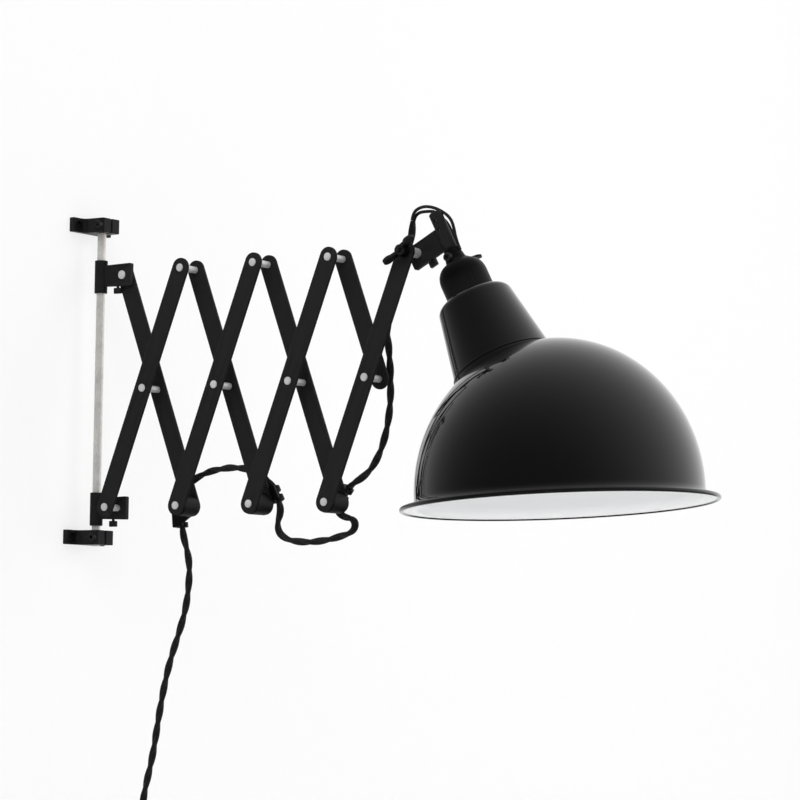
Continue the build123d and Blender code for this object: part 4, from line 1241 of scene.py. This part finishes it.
@dataclass
class PlugRelief:
    """The tapered, ribbed sleeve where the cord goes into the plug."""

    x: float = 143.5537
    y: float = 21.4
    bottom_z: float = -535.0
    height: float = 24.0
    base_r: float = 5.2
    taper: float = 1.1
    bore_r: float = 3.35
    ribs: int = 7
    rib_height: float = 0.35

    def build(self) -> None:
        """Makes and seats the sleeve."""
        frame = LeaningFrame((self.x, self.y, self.bottom_z), 0.0)
        profile = []
        steps = self.ribs * 6
        for i in range(steps + 1):
            share = i / steps
            rib = self.rib_height * math.cos(2 * math.pi * share * self.ribs)
            profile.append((self.base_r - self.taper * share + rib * (1 - 0.5 * share), self.height * share))
        profile += [(self.bore_r, self.height), (self.bore_r, 0.0)]
        seat(lathe("plug_relief", frame, profile, 40), "clip_1", BLACK_MOULDING)


# ---------------------------------------------------------------- studio
@dataclass
class Studio:
    """The camera at the photograph's angle, the soft lamps, and the white wall and floor."""

    camera_at: Point = (2.3303, -2.7609, -0.3079)
    back: Point = (0.5708, -0.8171, -0.0814)
    right: Point = (0.8203, 0.5717, 0.0134)
    up: Point = (0.0356, -0.0744, 0.9967)
    lens: float = 155.4
    dim_side: Point = (0.05, -0.95, -0.3)
    dimmest: float = 0.11
    soft_level: float = 0.62
    wall_x: float = -0.0006
    floor_x: float = 2.6
    room_y: tuple[float, float] = (-2.4, 3.2)
    room_z: tuple[float, float] = (-0.9, 2.2)
    paint_white: Colour = (0.95, 0.95, 0.95)

    def camera(self) -> None:
        """Stands the camera where the photograph was taken."""
        data = bpy.data.cameras.new("photo_camera")
        data.lens = self.lens
        data.sensor_width = 36.0
        data.clip_start, data.clip_end = 0.05, 60.0
        camera = bpy.data.objects.new("photo_camera", data)
        columns = Matrix((self.right, self.up, self.back)).transposed()
        camera.matrix_world = Matrix.Translation(self.camera_at) @ columns.to_4x4()
        bpy.context.scene.collection.objects.link(camera)
        bpy.context.scene.camera = camera

    def lamp(self, name: str, at: Point, aim: Point, size: float, watts: float) -> None:
        """A large soft lamp that looks at a point."""
        data = bpy.data.lights.new(name, "AREA")
        data.shape = "SQUARE"
        data.size = size
        data.energy = watts
        lamp = bpy.data.objects.new(name, data)
        lamp.visible_glossy = False
        lamp.location = at
        lamp.rotation_mode = "QUATERNION"
        lamp.rotation_quaternion = (Vector(aim) - Vector(at)).to_track_quat("-Z", "Y")
        bpy.context.scene.collection.objects.link(lamp)

    def world(self) -> None:
        """White to the camera, soft white to diffuse rays, and to gloss a fade from white to dim."""
        world = bpy.data.worlds.new("white_studio")
        bpy.context.scene.world = world
        world.use_nodes = True
        tree = NodeTree(world.node_tree)
        path = tree.add("ShaderNodeLightPath")
        place = tree.add("ShaderNodeTexCoord").outputs["Generated"]
        facing = tree.add("ShaderNodeVectorMath", {"0": place, "1": self.dim_side}, operation="DOT_PRODUCT")
        away = tree.ramp(facing.outputs["Value"], -1.0, 1.0, 1.0, 0.0)
        fade = tree.ramp(tree.math("POWER", away, 2.0), 0.0, 1.0, self.dimmest, 1.0)
        soft, gloss, white = (
            tree.add("ShaderNodeBackground", {"Color": WHITE, "Strength": level}).outputs[0]
            for level in (self.soft_level, fade, 1.0)
        )
        seen = tree.math("MAXIMUM", path.outputs["Is Camera Ray"], path.outputs["Is Transmission Ray"])
        lit = tree.mix_shaders(path.outputs["Is Glossy Ray"], soft, gloss)
        tree.add("ShaderNodeOutputWorld", {"Surface": tree.mix_shaders(seen, lit, white)})

    def sheet(self, name: str, corners: list[Point], finish: BackdropPaint) -> None:
        """One flat sheet of the backdrop."""
        piece = new_piece(name, [Vector(c) for c in corners], [(0, 1, 2, 3)])
        piece.data.materials.append(finish.material())
        piece.visible_glossy = not finish.open_back

    def build(self) -> None:
        """Sets up the camera, the lamps, the world, the wall and the floor."""
        self.camera()
        self.world()
        self.lamp("key_softbox", (1.3, -2.2, 2.2), (0.35, 0.0, -0.05), 1.8, 42.0)
        self.lamp("rim_softbox", (1.9, 1.6, 0.9), (0.5, 0.0, -0.05), 1.2, 16.0)
        wall = BackdropPaint("white_wall", self.paint_white, 0.9, shadow=0.25, open_back=True)
        floor = BackdropPaint("white_floor", self.paint_white, 0.9, shadow=0.2)
        back, near, (y0, y1), (z0, z1) = self.wall_x, self.floor_x, self.room_y, self.room_z
        self.sheet("wall", [(back, y0, z0), (back, y1, z0), (back, y1, z1), (back, y0, z1)], wall)
        self.sheet("floor", [(back, y0, z0), (near, y0, z0), (near, y1, z0), (back, y1, z0)], floor)
        bpy.context.scene.view_settings.view_transform = "Standard"


def main() -> None:
    """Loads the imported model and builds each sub-assembly in order."""
    logging.basicConfig(level=logging.INFO, format="%(name)s: %(message)s", stream=sys.stdout)
    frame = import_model()
    Studio().build()
    PlugRelief().build()
    TextileCord().build()
    carried = CarriedParts(frame["nodes"])
    carried.plan()
    carried.dress()
    RivetDomes().build()
    SpunShade().build()


if __name__ == "__main__":
    main()
